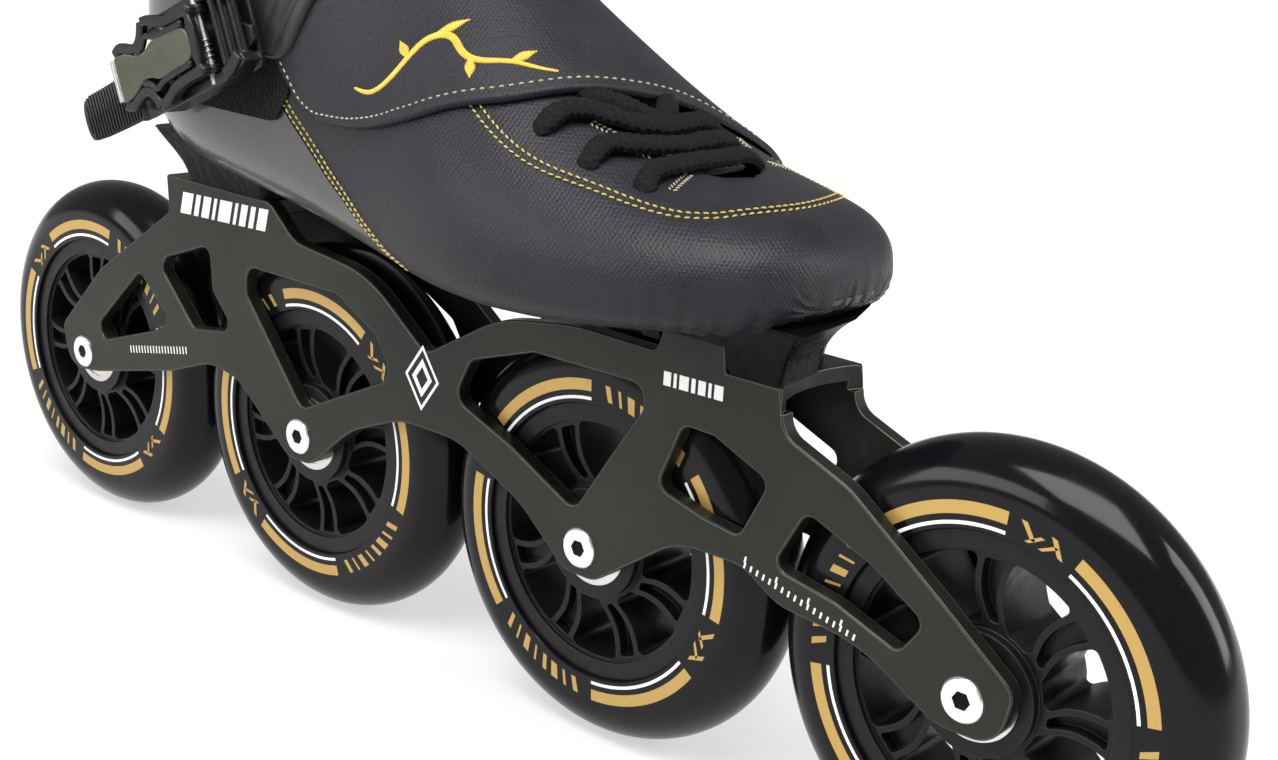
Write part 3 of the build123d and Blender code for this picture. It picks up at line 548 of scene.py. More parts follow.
def wheel_prints(number, phase):
    """Four gold arcs with a thin white line inside each; plain bars and chevrons fill the gaps."""
    gold, white = Pile(), Pile()
    x0 = AXLE_X[number - 1]
    arc, short_gap, long_gap = 51.0, 24.5, 53.5
    for side in (-1, 1):
        span = printed(side, WHEEL_HALF, 0.06)
        for half_turn in (0, 180):
            first = phase + half_turn
            second = first + arc + long_gap
            for start in (first, second):
                arc_band(gold, GOLD_RING, start, start + arc, x0, span)
                arc_band(white, WHITE_RING, start, start + arc, x0, span)
            # plain bars of several widths in the long gap
            for k, width in enumerate((3.2, 1.6, 4.6, 1.6, 3.2, 5.2, 2.0, 3.6)):
                middle = first + arc + 8.0 + k * 5.3
                slant_bar(gold, middle, width * 0.62, 1.0, 38.6, 42.6, x0, span)
            # two chevrons in the short gap
            middle = second + arc + short_gap / 2
            for offset in (-5.0, 5.0):
                slant_bar(gold, middle + offset, 2.0, 2.2, 39.2, 42.6, x0, span)
                slant_bar(gold, middle - offset * 0.5, 1.6, -2.2, 38.4, 41.0, x0, span)
    for prints, tone in ((gold, "gold"), (white, "white")):
        prints.piece(f"wheel_print_{tone}_{number}", f"{tone}_ink", f"wheel_{number}", "tyre", **FLAT)


def make_socket_shadows():
    """Painted shadow: near-black hexagons in the axles' sockets, standing in for their shade."""
    painted_shadow = Pile()
    for x0 in AXLE_X:
        hexagon = [(x0 + a, AXLE_Z + b) for a, b in circle(SOCKET_R, 6)]
        painted_shadow.plate(hexagon, -RAIL_FACE - 0.15, -RAIL_FACE + 0.6)
    painted_shadow.piece("axle_socket_shadows", "socket", "skate", "axle", **FLAT)


# ================================================================== boot form
# The same sections as the CAD boot: sole or heel point, instep point, half widths, height of the
# widest place, squareness below and above.
RINGS = np.array([
    (119.5, 134.0, 119.5, 139.0, 6, 5, 0.50, 2.2, 2.2),
    (117.0, 127.5, 116.5, 143.5, 20, 18, 0.46, 2.6, 2.4),
    (110.0, 123.8, 110.0, 148.0, 31, 28, 0.42, 3.2, 2.3),
    (98.0, 121.8, 98.0, 151.5, 39, 36, 0.40, 3.6, 2.2),
    (78.0, 120.0, 78.0, 156.5, 44.5, 42, 0.38, 4.2, 2.1),
    (54.0, 117.8, 54.0, 169.0, 47.5, 44, 0.33, 4.4, 1.9),
    (30.0, 116.6, 31.0, 184.0, 46, 41, 0.30, 4.2, 1.85),
    (5.0, 117.0, 13.0, 197.0, 40.5, 36, 0.28, 3.8, 1.85),
    (-20.0, 119.0, 2.0, 206.0, 36, 33, 0.28, 3.4, 1.9),
    (-50.0, 122.0, -6.0, 215.0, 34, 32, 0.33, 3.0, 2.0),
    (-80.0, 125.5, -11.0, 223.0, 34, 32, 0.40, 3.0, 2.1),
    (-104.0, 129.5, -15.0, 230.0, 34, 32.5, 0.46, 3.0, 2.2),
    (-119.0, 136.0, -17.0, 236.0, 34, 33.5, 0.50, 2.7, 2.3),
    (-125.0, 150.0, -19.0, 242.0, 34.5, 35, 0.50, 2.5, 2.4),
    (-126.0, 168.0, -21.0, 248.0, 35.5, 36, 0.50, 2.3, 2.4),
    (-121.0, 190.0, -23.0, 253.0, 36, 37, 0.50, 2.2, 2.4),
    (-115.0, 212.0, -25.0, 258.0, 36.5, 37, 0.50, 2.2, 2.4),
    (-112.0, 234.0, -27.0, 263.0, 37, 37, 0.50, 2.2, 2.4),
    (-110.0, 252.0, -28.5, 270.0, 37, 37, 0.50, 2.2, 2.4),
])
LAST_RING = len(RINGS) - 1


def natural_spline(knots, values, at):
    """Cubic spline through rows of values, with no bend at its ends."""
    n = len(knots)
    gap = np.diff(knots)
    system = np.zeros((n, n))
    system[0, 0] = system[-1, -1] = 1
    right = np.zeros_like(values)
    for i in range(1, n - 1):
        system[i, i - 1:i + 2] = gap[i - 1], 2 * (gap[i - 1] + gap[i]), gap[i]
        right[i] = 6 * ((values[i + 1] - values[i]) / gap[i] - (values[i] - values[i - 1]) / gap[i - 1])
    bend = np.linalg.solve(system, right)
    i = np.clip(np.searchsorted(knots, at) - 1, 0, n - 2)
    after, before, h = (at - knots[i])[:, None], (knots[i + 1] - at)[:, None], gap[i][:, None]
    return (bend[i] * before ** 3 / (6 * h) + bend[i + 1] * after ** 3 / (6 * h)
            + (values[i] / h - bend[i] * h / 6) * before + (values[i + 1] / h - bend[i + 1] * h / 6) * after)


def line_lengths(points):
    """Distance along a line to each of its points."""
    return np.concatenate([[0], np.cumsum(np.linalg.norm(np.diff(points, axis=0), axis=1))])


class BootForm:
    """The boot's outer surface. u runs from toe (0) to collar (18); g runs round the boot from the
    middle of the sole (0) by the outer side to the instep (0.5) and by the inner side back (1)."""

    def __init__(self):
        steps = np.diff(RINGS[:, :5], axis=0)
        knots = np.concatenate([[0], np.cumsum(np.sqrt((steps ** 2).sum(axis=1)))])
        self.u_fine = np.linspace(0, LAST_RING, 1801)
        at = np.interp(self.u_fine, np.arange(len(RINGS)), knots)
        self.rows_fine = natural_spline(knots, RINGS, at)
        self.u_table = np.linspace(0, LAST_RING, 361)
        self.n_round = 720
        angles = np.linspace(0, 2 * math.pi, self.n_round + 1)
        grid = self.section(self.rows(self.u_table)[:, None, :], angles[None, :])
        step = np.linalg.norm(np.diff(grid, axis=1), axis=2)
        self.angle_at = np.zeros((len(self.u_table), self.n_round + 1))
        self.girth_at = np.zeros_like(self.angle_at)
        half = self.n_round // 2
        even = np.linspace(0, 1, half + 1)
        for i in range(len(self.u_table)):
            for first in (0, half):
                length = np.concatenate([[0], np.cumsum(step[i, first:first + half])])
                part = length / length[-1]
                span = slice(first, first + half + 1)
                self.angle_at[i, span] = np.interp(even, part, angles[span])
                self.girth_at[i, span] = (part + (1 if first else 0)) / 2
        grid_g = np.linspace(0, 1, self.n_round + 1)
        self.cloud_u, self.cloud_g = np.meshgrid(self.u_table, grid_g[::2], indexing="ij")
        self.cloud = self.at(self.cloud_u, self.cloud_g)

    def rows(self, u):
        """The section's nine values at each u."""
        u = np.clip(u, 0, LAST_RING)
        return np.stack([np.interp(u, self.u_fine, self.rows_fine[:, k]) for k in range(9)], axis=-1)

    @staticmethod
    def section(rows, a):
        """Points of sections at angle a round them, 0 in the middle of the sole."""
        xb, zb, xt, zt, wl, wm, f, nb, nt = [rows[..., k] for k in range(9)]
        c, s = -np.cos(a), np.sin(a)
        n = np.where(c < 0, nb, nt)
        h = f + np.sign(c) * np.abs(c) ** (2 / n) * np.where(c < 0, f, 1 - f)
        y = -np.sign(s) * np.abs(s) ** (2 / n) * np.where(s > 0, wl, wm)
        return np.stack([xb + (xt - xb) * h, y, zb + (zt - zb) * h], axis=-1)

    def look_up(self, table, u, column):
        """Value between a table's rows (u) and columns."""
        i = np.clip(u / LAST_RING * (len(self.u_table) - 1), 0, len(self.u_table) - 1.000001)
        j = np.clip(column, 0, self.n_round - 0.000001)
        i0, j0 = i.astype(int), j.astype(int)
        fi, fj = i - i0, j - j0
        return ((table[i0, j0] * (1 - fi) + table[i0 + 1, j0] * fi) * (1 - fj)
                + (table[i0, j0 + 1] * (1 - fi) + table[i0 + 1, j0 + 1] * fi) * fj)

    def at(self, u, g):
        """Points on the surface."""
        u = np.clip(np.asarray(u, float), 0, LAST_RING)
        g = np.mod(np.asarray(g, float), 1.0)
        angle = self.look_up(self.angle_at, u, g * self.n_round)
        return self.section(self.rows(u), angle)

    def normal(self, u, g):
        """Directions out of the surface."""
        du, dg = 0.05, 0.006
        along = self.at(u + du, g) - self.at(u - du, g)
        around = self.at(u, g + dg) - self.at(u, g - dg)
        normal = np.cross(around, along)
        return normal / np.maximum(np.linalg.norm(normal, axis=-1, keepdims=True), 1e-9)

    def skin(self, u, g, offset):
        """Points at a distance out of the surface."""
        offset = np.asarray(offset, float)
        return self.at(u, g) + self.normal(u, g) * offset[..., None]

    def on_side(self, x, z, side):
        """(u, g) of the place that is at (x, z) in side view; side is -1 outer, 1 inner."""
        x, z = np.atleast_1d(np.asarray(x, float)), np.atleast_1d(np.asarray(z, float))
        xb, zb, xt, zt = [self.rows_fine[:, k] for k in range(4)]
        cross = ((xt - xb)[None] * (z[:, None] - zb[None]) - (zt - zb)[None] * (x[:, None] - xb[None]))
        k = np.clip(np.argmax(cross < 0, axis=1), 1, len(self.u_fine) - 1)
        row = np.arange(len(x))
        before, after = cross[row, k - 1], cross[row, k]
        share = np.clip(before / np.maximum(before - after, 1e-9), 0, 1)
        u = self.u_fine[k - 1] + (self.u_fine[k] - self.u_fine[k - 1]) * share
        xb, zb, xt, zt, _, _, f, nb, nt = [self.rows(u)[:, i] for i in range(9)]
        length2 = (xt - xb) ** 2 + (zt - zb) ** 2
        h = np.clip(((x - xb) * (xt - xb) + (z - zb) * (zt - zb)) / length2, 0, 1)
        below = h < f
        rise = np.where(below, (f - h) / f, (h - f) / (1 - f))
        c = np.where(below, -1, 1) * rise ** (np.where(below, nb, nt) / 2)
        angle = np.arccos(np.clip(-c, -1, 1))
        if side > 0:
            angle = 2 * math.pi - angle
        return u, self.look_up(self.girth_at, u, angle / (2 * math.pi) * self.n_round)

    def nearest(self, points):
        """(u, g) of the surface places nearest to points."""
        flat = self.cloud.reshape(-1, 3)
        found = [int(np.argmin(((flat - point) ** 2).sum(axis=1))) for point in np.array(points, float)]
        return self.cloud_u.flat[found], self.cloud_g.flat[found]

    def trace(self, points, step):
        """Smooth line on the surface near given points; returns u and g at even steps."""
        u, g = self.nearest(points)
        knots = line_lengths(self.at(u, g))
        fine = np.linspace(0, knots[-1], 400)
        both = natural_spline(knots, np.stack([u, g], axis=1), fine)
        return self.even(both[:, 0], both[:, 1], step)

    def even(self, u, g, step):
        """The same line with its places step millimetres apart."""
        length = line_lengths(self.at(u, g))
        count = max(2, int(round(length[-1] / step)) + 1)
        want = np.linspace(0, length[-1], count)
        return np.interp(want, length, u), np.interp(want, length, g)


BOOT = BootForm()


def eased_steps(length, step, edge):
    """Places from 0 to length, closer together over the rounded edges at both ends."""
    near = edge * np.array([0.0, 0.08, 0.25, 0.55, 1.0])
    count = max(2, int(round((length - 2 * edge) / step)) + 1)
    middle = np.linspace(edge, length - edge, count)
    return np.concatenate([near[:-1], middle, length - near[-2::-1]])


def edge_distance(points, border):
    """Distance from each point to the nearest of the border points."""
    flat = points.reshape(-1, 3)
    best = np.full(len(flat), 1e9)
    for start in range(0, len(border), 64):
        part = border[start:start + 64]
        gap = np.sqrt(((flat[:, None, :] - part[None]) ** 2).sum(axis=2)).min(axis=1)
        best = np.minimum(best, gap)
    return best.reshape(points.shape[:-1])


def round_over(distance, edge):
    """0 at the border, 1 past the rounded edge."""
    t = np.clip(distance / edge, 0, 1)
    return np.sqrt(1 - (1 - t) ** 2)


def dense_line(points):
    """The points of a line, with two more between each pair."""
    step = points[1:] - points[:-1]
    return np.concatenate([points[:-1], points[:-1] + step / 3, points[:-1] + step * (2 / 3), points[-1:]])


def sheet_shell(u, g, layer, edge, border, relief=None, keep=None):
    """Points and faces of a closed sheet over the boot, tapered to its under face at its border points."""
    low, high = layer
    base = BOOT.at(u, g)
    distance = edge_distance(base, border)
    height = high + (relief(base, distance) if relief is not None else 0.0)
    top = low + (height - low) * round_over(distance, edge)
    rows, cols = u.shape
    outer = BOOT.skin(u, g, top).reshape(-1, 3)
    inner = BOOT.skin(u, g, low).reshape(-1, 3)
    faces = grid_faces(rows, cols)
    if keep is not None:
        faces = [face for face in faces if all(keep.flat[i] for i in face)]
    under = [tuple(rows * cols + i for i in reversed(face)) for face in faces]
    return np.concatenate([outer, inner]), faces + under


def sheet_piece(name, shell, material, slot, *replaced):
    """A sheet over the boot as a piece of the skate."""
    obj = mesh_object(name, *shell, material, sharp_angle=80)
    return settle(obj, "skate", slot, *replaced)


def rim(u, g):
    """Points all round a grid's border."""
    base = BOOT.at(u, g)
    return np.concatenate([dense_line(line) for line in (base[0], base[-1], base[:, 0], base[:, -1])])


def ripple(points, size, seed):
    """Smooth wandering value from -1 to 1, about size millimetres across."""
    total = 0.0
    for k in range(4):
        turn = seed * 1.7 + k * 2.4
        way = np.array([math.cos(turn), math.sin(turn * 1.3), math.sin(turn * 0.7 + 1)])
        total = total + np.sin(points @ way * (2 * math.pi / (size * (1 + 0.23 * k))) + turn * 3)
    return total / 4


def smooth_step(value, low, high):
    t = np.clip((value - low) / (high - low), 0, 1)
    return t * t * (3 - 2 * t)


# ------------------------------------------------------------------ seams, in millimetres
SOLE_LINE = [(118.0, 128.6), (110.0, 124.6), (98.0, 122.4), (78.0, 121.0), (54.0, 119.2), (20.0, 118.8),
             (14.0, 120.0)]
QUARTER_LINE = [(6.0, 123.5), (-6.0, 129.0), (-22.0, 138.5), (-38.0, 150.5), (-52.0, 163.5), (-68.0, 178.4),
                (-100.0, 188.0), (-118.0, 189.2)]
TOE_SEAM = [(32.0, -35.3, 164.7), (42.6, -37.0, 159.3), (56.0, -37.2, 154.4), (72.0, -34.2, 151.0),
            (84.0, -31.3, 148.8), (93.0, -28.0, 147.9), (100.8, -19.5, 148.9), (105.0, -7.0, 149.7),
            (105.2, 5.0, 149.7), (101.5, 17.0, 149.0), (94.0, 25.5, 148.5), (82.0, 30.0, 149.5),
            (68.0, 32.5, 152.5), (54.0, 33.5, 156.5), (40.0, 33.0, 161.5)]
# how far the under and outer faces of each layer lie from the boot's form
LINING, TONGUE, UPPER = (-6.6, -2.2), (-6.4, -2.6), (-1.6, 0.35)
STRAP, LADDER_BAND, CUFF_PAD = (1.25, 2.9), (0.1, 1.5), (1.6, 4.6)
THROAT_FRONT_U = 3.50           # u where the lacing's throat begins
COLLAR_TOP_U = 17.3


def side_curve(line, side, count):
    """(u, g) along a side-view line, evenly sampled."""
    points = np.array(line, float)
    length = line_lengths(points)
    want = np.linspace(0, length[-1], count)
    return BOOT.on_side(np.interp(want, length, points[:, 0]), np.interp(want, length, points[:, 1]), side)


def lower_border(u, side):
    """g where the upper ends above the sole and the heel shell."""
    line_u, line_g = side_curve(SOLE_LINE + QUARTER_LINE, side, 400)
    end = 0.0 if side < 0 else 1.0
    order = np.argsort(line_u)
    known_u = np.concatenate([[0.0, line_u.min() * 0.55], line_u[order], [line_u.max() + 0.15]])
    known_g = np.concatenate([[end, end], line_g[order], [end]])
    return np.interp(u, known_u, known_g)


def half_girth(u):
    """Length of the boot's outline over its outer half, from sole to instep."""
    u = np.atleast_1d(u)
    g = np.linspace(0, 0.5, 120)
    ring = BOOT.at(np.repeat(u[:, None], len(g), 1), np.repeat(g[None], len(u), 0))
    return np.linalg.norm(np.diff(ring, axis=1), axis=2).sum(axis=1)


def throat_half(u):
    """Half width of the throat, in millimetres: a round front end, then slowly wider to the collar."""
    round_end = np.sqrt(1 - (1 - np.clip((u - THROAT_FRONT_U) / 0.75, 0, 1)) ** 2)
    return round_end * (14.0 + 5.0 * smooth_step(u, 8.0, 14.0))


def to_collar(u, g):
    """Pull the last columns to the collar's line, which dips at the ankles."""
    across = np.minimum(g, 1 - g)
    top = natural_spline(np.array([0, 0.17, 0.275, 0.345, 0.44, 0.5]),
                         np.array([[17.3], [16.3], [15.1], [14.9], [14.3], [14.1]]), across.ravel())
    top = top[:, 0].reshape(across.shape)
    start = np.interp(across, [0, 0.17, 0.21, 0.24, 0.345, 0.5], [15.2, 14.0, 13.5, 13.1, 11.2, 10.0])
    moved = start + (u - start) / (COLLAR_TOP_U - start) * (top - start)
    return np.where(u > start, moved, u)


def even_columns(step, first, last):
    """u values about step millimetres apart along the boot's side."""
    u = np.linspace(first, last, 600)
    line = (BOOT.at(u, np.full(600, 0.22)) + BOOT.at(u, np.full(600, 0.40))) / 2
    length = line_lengths(line)
    want = np.linspace(0, length[-1], int(length[-1] / step) + 1)
    return np.interp(want, length, u)


def upper_grid(step):
    """u and g over the upper: columns from toe to collar, rows from the outer seam over to the inner.
    Also which columns lie along the open throat, and how many rows the outer half has."""
    u = even_columns(step, 0.0, COLLAR_TOP_U)
    u = np.concatenate([[0, 0.03, 0.08], u[1:-1], [COLLAR_TOP_U - 0.06, COLLAR_TOP_U - 0.02, COLLAR_TOP_U]])
    half = throat_half(u) / half_girth(u) * 0.5
    parts = eased_steps(95.0, step, 1.6) / 95.0
    outer_low, inner_low = lower_border(u, -1), lower_border(u, 1)
    outer = outer_low[:, None] + (0.5 - half - outer_low)[:, None] * parts[None]
    inner = (0.5 + half)[:, None] + (inner_low - 0.5 - half)[:, None] * parts[None]
    g = np.concatenate([outer, inner], axis=1)
    u_grid = np.repeat(u[:, None], g.shape[1], axis=1)
    return to_collar(u_grid, g), g, half > 1e-6, len(parts)


def toe_wrinkles(base):
    """Short gathers where the leather is lasted under the toe."""
    around = np.arctan2(base[..., 1], base[..., 0] - 60) * 60
    low = 1 - smooth_step(base[..., 2], 126.0, 139.0)
    front = smooth_step(base[..., 0], 78.0, 104.0)
    fold = np.sin(around * 1.15 + 1.4 * np.sin(around * 0.31)) + 0.6 * np.sin(around * 2.3 + 1.1)
    return 0.34 * fold * low * front


def make_upper():
    """Leather upper, open along the throat and closed at the toe."""
    u, g, open_column, cols = upper_grid(1.25)
    base = BOOT.at(u, g)
    seam = BOOT.at(*BOOT.trace(TOE_SEAM, 0.8))
    throat = [base[open_column][:, cols - 1], base[open_column][:, cols]]
    # columns that end on the seam over the sole and the heel shell
    lower_columns = (u[:, 0] < 14.9) & (g[:, 0] > 0.004)
    lower = [base[lower_columns][:, 0], base[lower_columns][:, -1]]
    border = np.concatenate([dense_line(line) for line in throat + lower + [base[-1]]])

    def relief(points, distance):
        groove = -0.16 * np.exp(-(edge_distance(points, seam) / 1.3) ** 2)
        soft = 0.22 * ripple(points, 38.0, 1.0) + 0.10 * ripple(points, 15.0, 4.0)
        return groove + soft + toe_wrinkles(points)

    points, faces = sheet_shell(u, g, UPPER, 1.3, border, relief)
    # cap over the toe's tip, outside and inside
    rows, total = u.shape
    for layer, nose in ((0, 119.9), (1, 118.0)):
        first = layer * rows * total
        points = np.concatenate([points, [(nose, 0.0, 136.6)]])
        faces += [(first + i, first + i + 1, len(points) - 1) for i in range(total - 1)]
    sheet_piece("upper_shell", (points, faces), "upper", "upper", "upper")


def make_lining():
    """Padded lining inside the upper; its rolled top stands just over the collar."""
    u, g, _, cols = upper_grid(2.2)
    u = np.minimum(u + 0.30 * smooth_step(u, 12.0, 14.0), LAST_RING)
    base = BOOT.at(u, g)
    border = np.concatenate([dense_line(line) for line in (base[-1], base[:, cols - 1], base[:, cols])])

    def relief(points, distance):
        roll = 1.9 * np.exp(-((distance - 3.5) / 3.0) ** 2) * smooth_step(points[..., 2], 215.0, 232.0)
        return roll + 0.15 * ripple(points, 20.0, 2.0)

    shell = sheet_shell(u, g, LINING, 2.4, border, relief, keep=u > 2.5)
    lining = sheet_piece("padded_lining", shell, "lining", "lining", "liner")


def make_tongue():
    """Soft tongue with channels across it, wide at the ankle, ending in a rounded lip."""
    rows = even_columns(1.6, 3.75, 16.0)
    across = np.linspace(-1, 1, 41)
    half = np.interp(rows, [3.75, 5, 8, 12, 16.0], [15.0, 19.0, 21.0, 26.0, 27.0])
    g = 0.5 + (half / half_girth(rows) * 0.5)[:, None] * across[None]
    lip = 1.1 * np.abs(across) ** 3.5
    u = rows[:, None] - lip[None] * smooth_step(rows, 12.0, 16.0)[:, None]
    length = line_lengths(BOOT.at(rows, np.full(len(rows), 0.5)))

    def relief(points, distance):
        crown = 1.2 * (1 - across[None] ** 2)
        channels = 0.55 * np.abs(np.sin(length * math.pi / 9.0))[:, None] ** 0.5
        puff = 1.5 * smooth_step(points[..., 2], 236.0, 250.0)
        return crown + channels - 0.5 + puff

    shell = sheet_shell(u, g, TONGUE, 2.6, rim(u, g), relief)
    tongue = sheet_piece("padded_tongue", shell, "lining", "lining", "tongue")


def make_insole():
    """Footbed with soft edges, remeshed from its plain solid."""
    footbed = in_scene("footbed", NODES["insole"].data.copy())
    remesh = footbed.modifiers.new("even", "REMESH")
    remesh.mode = "VOXEL"
    remesh.voxel_size = 1.6 * MM
    smooth = footbed.modifiers.new("soft", "SMOOTH")
    smooth.factor = 0.6
    smooth.iterations = 4
    baked(footbed)
    dress(footbed, "insole")
    settle(footbed, "skate", "insole", "insole")


# ------------------------------------------------------------------ stitches
BEAD_ROUND = 6                  # corners round a bead
THREAD = 0.5


def bead(pile, centre, along, normal, length, width, height):
    """One stitch: a small pointed bead of thread."""
    along = along / max(np.linalg.norm(along), 1e-9)
    normal = normal - along * (normal @ along)
    normal = normal / max(np.linalg.norm(normal), 1e-9)
    side = np.cross(normal, along)
    sink = normal * height * 0.35
    points = [centre - along * length / 2 - sink]
    for place, swell in ((-0.40, 0.62), (-0.15, 1.0), (0.15, 1.0), (0.40, 0.62)):
        for c, s in circle(swell, BEAD_ROUND):
            points.append(centre + along * place * length + side * c * width / 2 + normal * s * height / 2)
    points.append(centre + along * length / 2 - sink)
    last = 1 + 3 * BEAD_ROUND
    faces = grid_faces(4, BEAD_ROUND, 1, wrap=True)
    for k in range(BEAD_ROUND):
        k1 = (k + 1) % BEAD_ROUND
        faces += [(0, 1 + k1, 1 + k), (last + k, last + k1, last + BEAD_ROUND)]
    pile.add(points, faces)


def places_along(u, g, pitch, lift):
    """(point, direction along, outward, sideways) at even places of a line over the boot."""
    u, g = BOOT.even(u, g, pitch)
    points = BOOT.skin(u, g, lift)
    normals = BOOT.normal(u, g)
    along = unit(np.gradient(points, axis=0))
    return zip(points, along, normals, np.cross(normals, along))


def stitch_row(pile, u, g, lift, shift=0.0, pitch=2.05, length=1.45, slant=0.0):
    """Row of stitches beside a line on the boot, shift millimetres to its right."""
    for point, along, normal, side in places_along(u, g, pitch, lift):
        bead(pile, point + side * shift, along + side * slant, normal, length, THREAD, THREAD)


TACKS = [((57.5, -21.8, 163), (62.2, -20.2, 161)), ((69.0, -19.2, 158), (72.0, -18.0, 157)),
         ((83.9, -23.6, 152), (82.0, -15.8, 154)), ((57.5, 21.0, 163), (62.2, 19.4, 161)),
         ((70.0, 18.6, 158), (73.0, 17.6, 157)), ((83.5, 22.6, 152), (82.0, 15.4, 154))]


def make_seam_stitches():
    """Two rows beside the toe seam and the quarter seam, and short tacks at the lace rows' ends."""
    gold = Pile()
    toe_u, toe_g = BOOT.trace(TOE_SEAM, 1.0)
    for shift, slant in ((-0.95, 0.18), (0.95, -0.18)):
        stitch_row(gold, toe_u, toe_g, 0.5, shift, slant=slant)
    for side in (-1, 1):
        u, g = side_curve([(14.0, 121.6)] + QUARTER_LINE[:6], side, 240)
        for shift in (1.5, 3.3):
            stitch_row(gold, u, g, 0.5, side * shift)
    gold.piece("seam_stitches", "thread_gold", "skate", "upper", weld=False)

    pale = Pile()
    for ends in TACKS:
        u, g = BOOT.trace(ends, 0.5)
        for side in (-1, 1):
            stitch_row(pale, u, g, 0.5, side * 0.7, pitch=1.25, length=1.25, slant=side * 0.9)
    pale.piece("bar_tacks", "thread_pale", "skate", "upper", weld=False)


# ------------------------------------------------------------------ instep strap
STRAP_LOW = [(-29.5, -37.5, 153.2), (-14.0, -38.4, 153.8), (13.0, -40.0, 158.8), (27.0, -38.0, 163.2),
             (40.0, -32.5, 166.6), (51.0, -17.0, 168.0), (57.0, -2.0, 166.9), (61.5, 9.0, 163.8),
             (65.5, 18.0, 159.0), (68.0, 28.0, 150.5), (66.0, 36.0, 138.0)]
STRAP_HIGH = [(-50.0, -33.5, 178.0), (-30.0, -31.2, 184.0), (-10.0, -25.0, 190.0), (4.0, -15.0, 194.5),
              (13.0, -2.0, 196.8), (16.0, 9.0, 194.0), (16.5, 20.0, 184.0), (14.0, 29.0, 168.0),
              (8.0, 34.0, 146.0)]


class Band:
    """Sheet between two lines on the boot. s runs along it and q across it, both in millimetres."""

    def __init__(self, low, high):
        self.edges = [BOOT.trace(line, 0.8) for line in (low, high)]
        self.parts = []
        lengths = []
        for u, g in self.edges:
            length = line_lengths(BOOT.at(u, g))
            lengths.append(length[-1])
            self.parts.append(length / length[-1])
        self.length = sum(lengths) / 2
        ends = [BOOT.at(u[:1], g[:1])[0] for u, g in self.edges]
        self.width = float(np.linalg.norm(ends[1] - ends[0]))

    def place(self, s, q):
        """(u, g) on the boot of a place in the band."""
        share, across = np.asarray(s) / self.length, np.asarray(q) / self.width
        values = []
        for k in (0, 1):
            low = np.interp(share, self.parts[0], self.edges[0][k])
            high = np.interp(share, self.parts[1], self.edges[1][k])
            values.append(low + (high - low) * across)
        return values[0], values[1]

    def grid(self, step, edge, low_radius, high_radius):
        """Even grid whose near end has rounded corners."""
        q = eased_steps(self.width, step, edge)
        cut = np.zeros(len(q))
        for radius, d in ((low_radius, q), (high_radius, self.width - q)):
            inside = d < radius
            cut[inside] = radius - np.sqrt(radius ** 2 - (radius - d[inside]) ** 2)
        share = eased_steps(self.length, step, edge) / self.length
        s = cut[:, None] + (self.length - cut)[:, None] * share[None]
        return self.place(s, np.repeat(q[:, None], len(share), axis=1))


def make_instep_strap():
    """Broad strap over the instep with a pressed edge and a pale row of stitches."""
    band = Band(STRAP_LOW, STRAP_HIGH)
    u, g = band.grid(1.2, 0.9, 7.0, 4.0)

    def relief(points, distance):
        pressed = -0.16 * np.exp(-((distance - 2.1) / 0.7) ** 2)
        return pressed + 0.12 * ripple(points, 34.0, 7.0)

    shell = sheet_shell(u, g, STRAP, 0.8, rim(u, g), relief)
    sheet_piece("instep_strap_cover", shell, "strap", "strap", "instep_strap")

    # one pale row of stitches just inside the outer end and the lower edge
    inset, radius = 2.1, 5.0
    straight = inset + radius + 8
    turn = np.linspace(0, math.pi / 2, 9)
    s_line = [inset, inset, *(inset + radius * (1 - np.cos(turn))), straight, band.length - 3]
    q_line = [band.width - 3, straight, *(inset + radius * (1 - np.sin(turn))), inset, inset]
    length = line_lengths(np.stack([s_line, q_line], axis=1))
    want = np.linspace(0, length[-1], 500)
    row_u, row_g = band.place(np.interp(want, length, s_line), np.interp(want, length, q_line))
    pale = Pile()
    stitch_row(pale, row_u, row_g, STRAP[1] - 0.05, pitch=2.2, length=1.3)
    pale.piece("strap_stitches", "thread_pale", "skate", "strap", weld=False)


# ------------------------------------------------------------------ generic embroidery on the strap
VINE = [(-9.0, -37.3, 163.4), (-3.0, -37.6, 163.6), (3.0, -36.8, 167.0), (8.0, -34.5, 173.0),
        (13.0, -31.5, 178.5), (18.0, -30.5, 179.5), (22.0, -31.5, 177.0), (26.0, -32.0, 175.0),
        (31.0, -30.5, 175.3), (36.0, -28.0, 175.8), (41.0, -24.5, 175.0), (44.5, -21.5, 174.2)]
LEAF_ENDS = [(3.0, -34.2, 176.5), (20.0, -27.0, 184.0), (29.0, -33.5, 169.8), (39.0, -22.5, 179.4)]


def satin_line(pile, line, width_at):
    """Embroidered line: many short threads laid side by side across it."""
    pitch = 0.42
    places = list(places_along(*BOOT.trace(line, 0.5), pitch, STRAP[1] + 0.12))
    for k, (point, along, normal, side) in enumerate(places):
        width = width_at(k / (len(places) - 1))
        bead(pile, point, side + along * 0.25, normal, width, pitch * 1.15, THREAD)


def make_embroidery():
    """A vine with a leaf at each of four of its places."""
    gold = Pile()
    satin_line(gold, VINE, lambda t: 0.7 + 1.5 * math.sin(math.pi * t) ** 0.6)
    for start, leaf_end in zip((3, 4, 7, 9), LEAF_ENDS):
        satin_line(gold, [VINE[start], leaf_end],
                   lambda t: 0.5 + 2.6 * math.sin(math.pi * min(t * 1.02, 1)) ** 1.2)
    gold.piece("strap_embroidery", "gold_embroidery", "skate", "strap", weld=False)


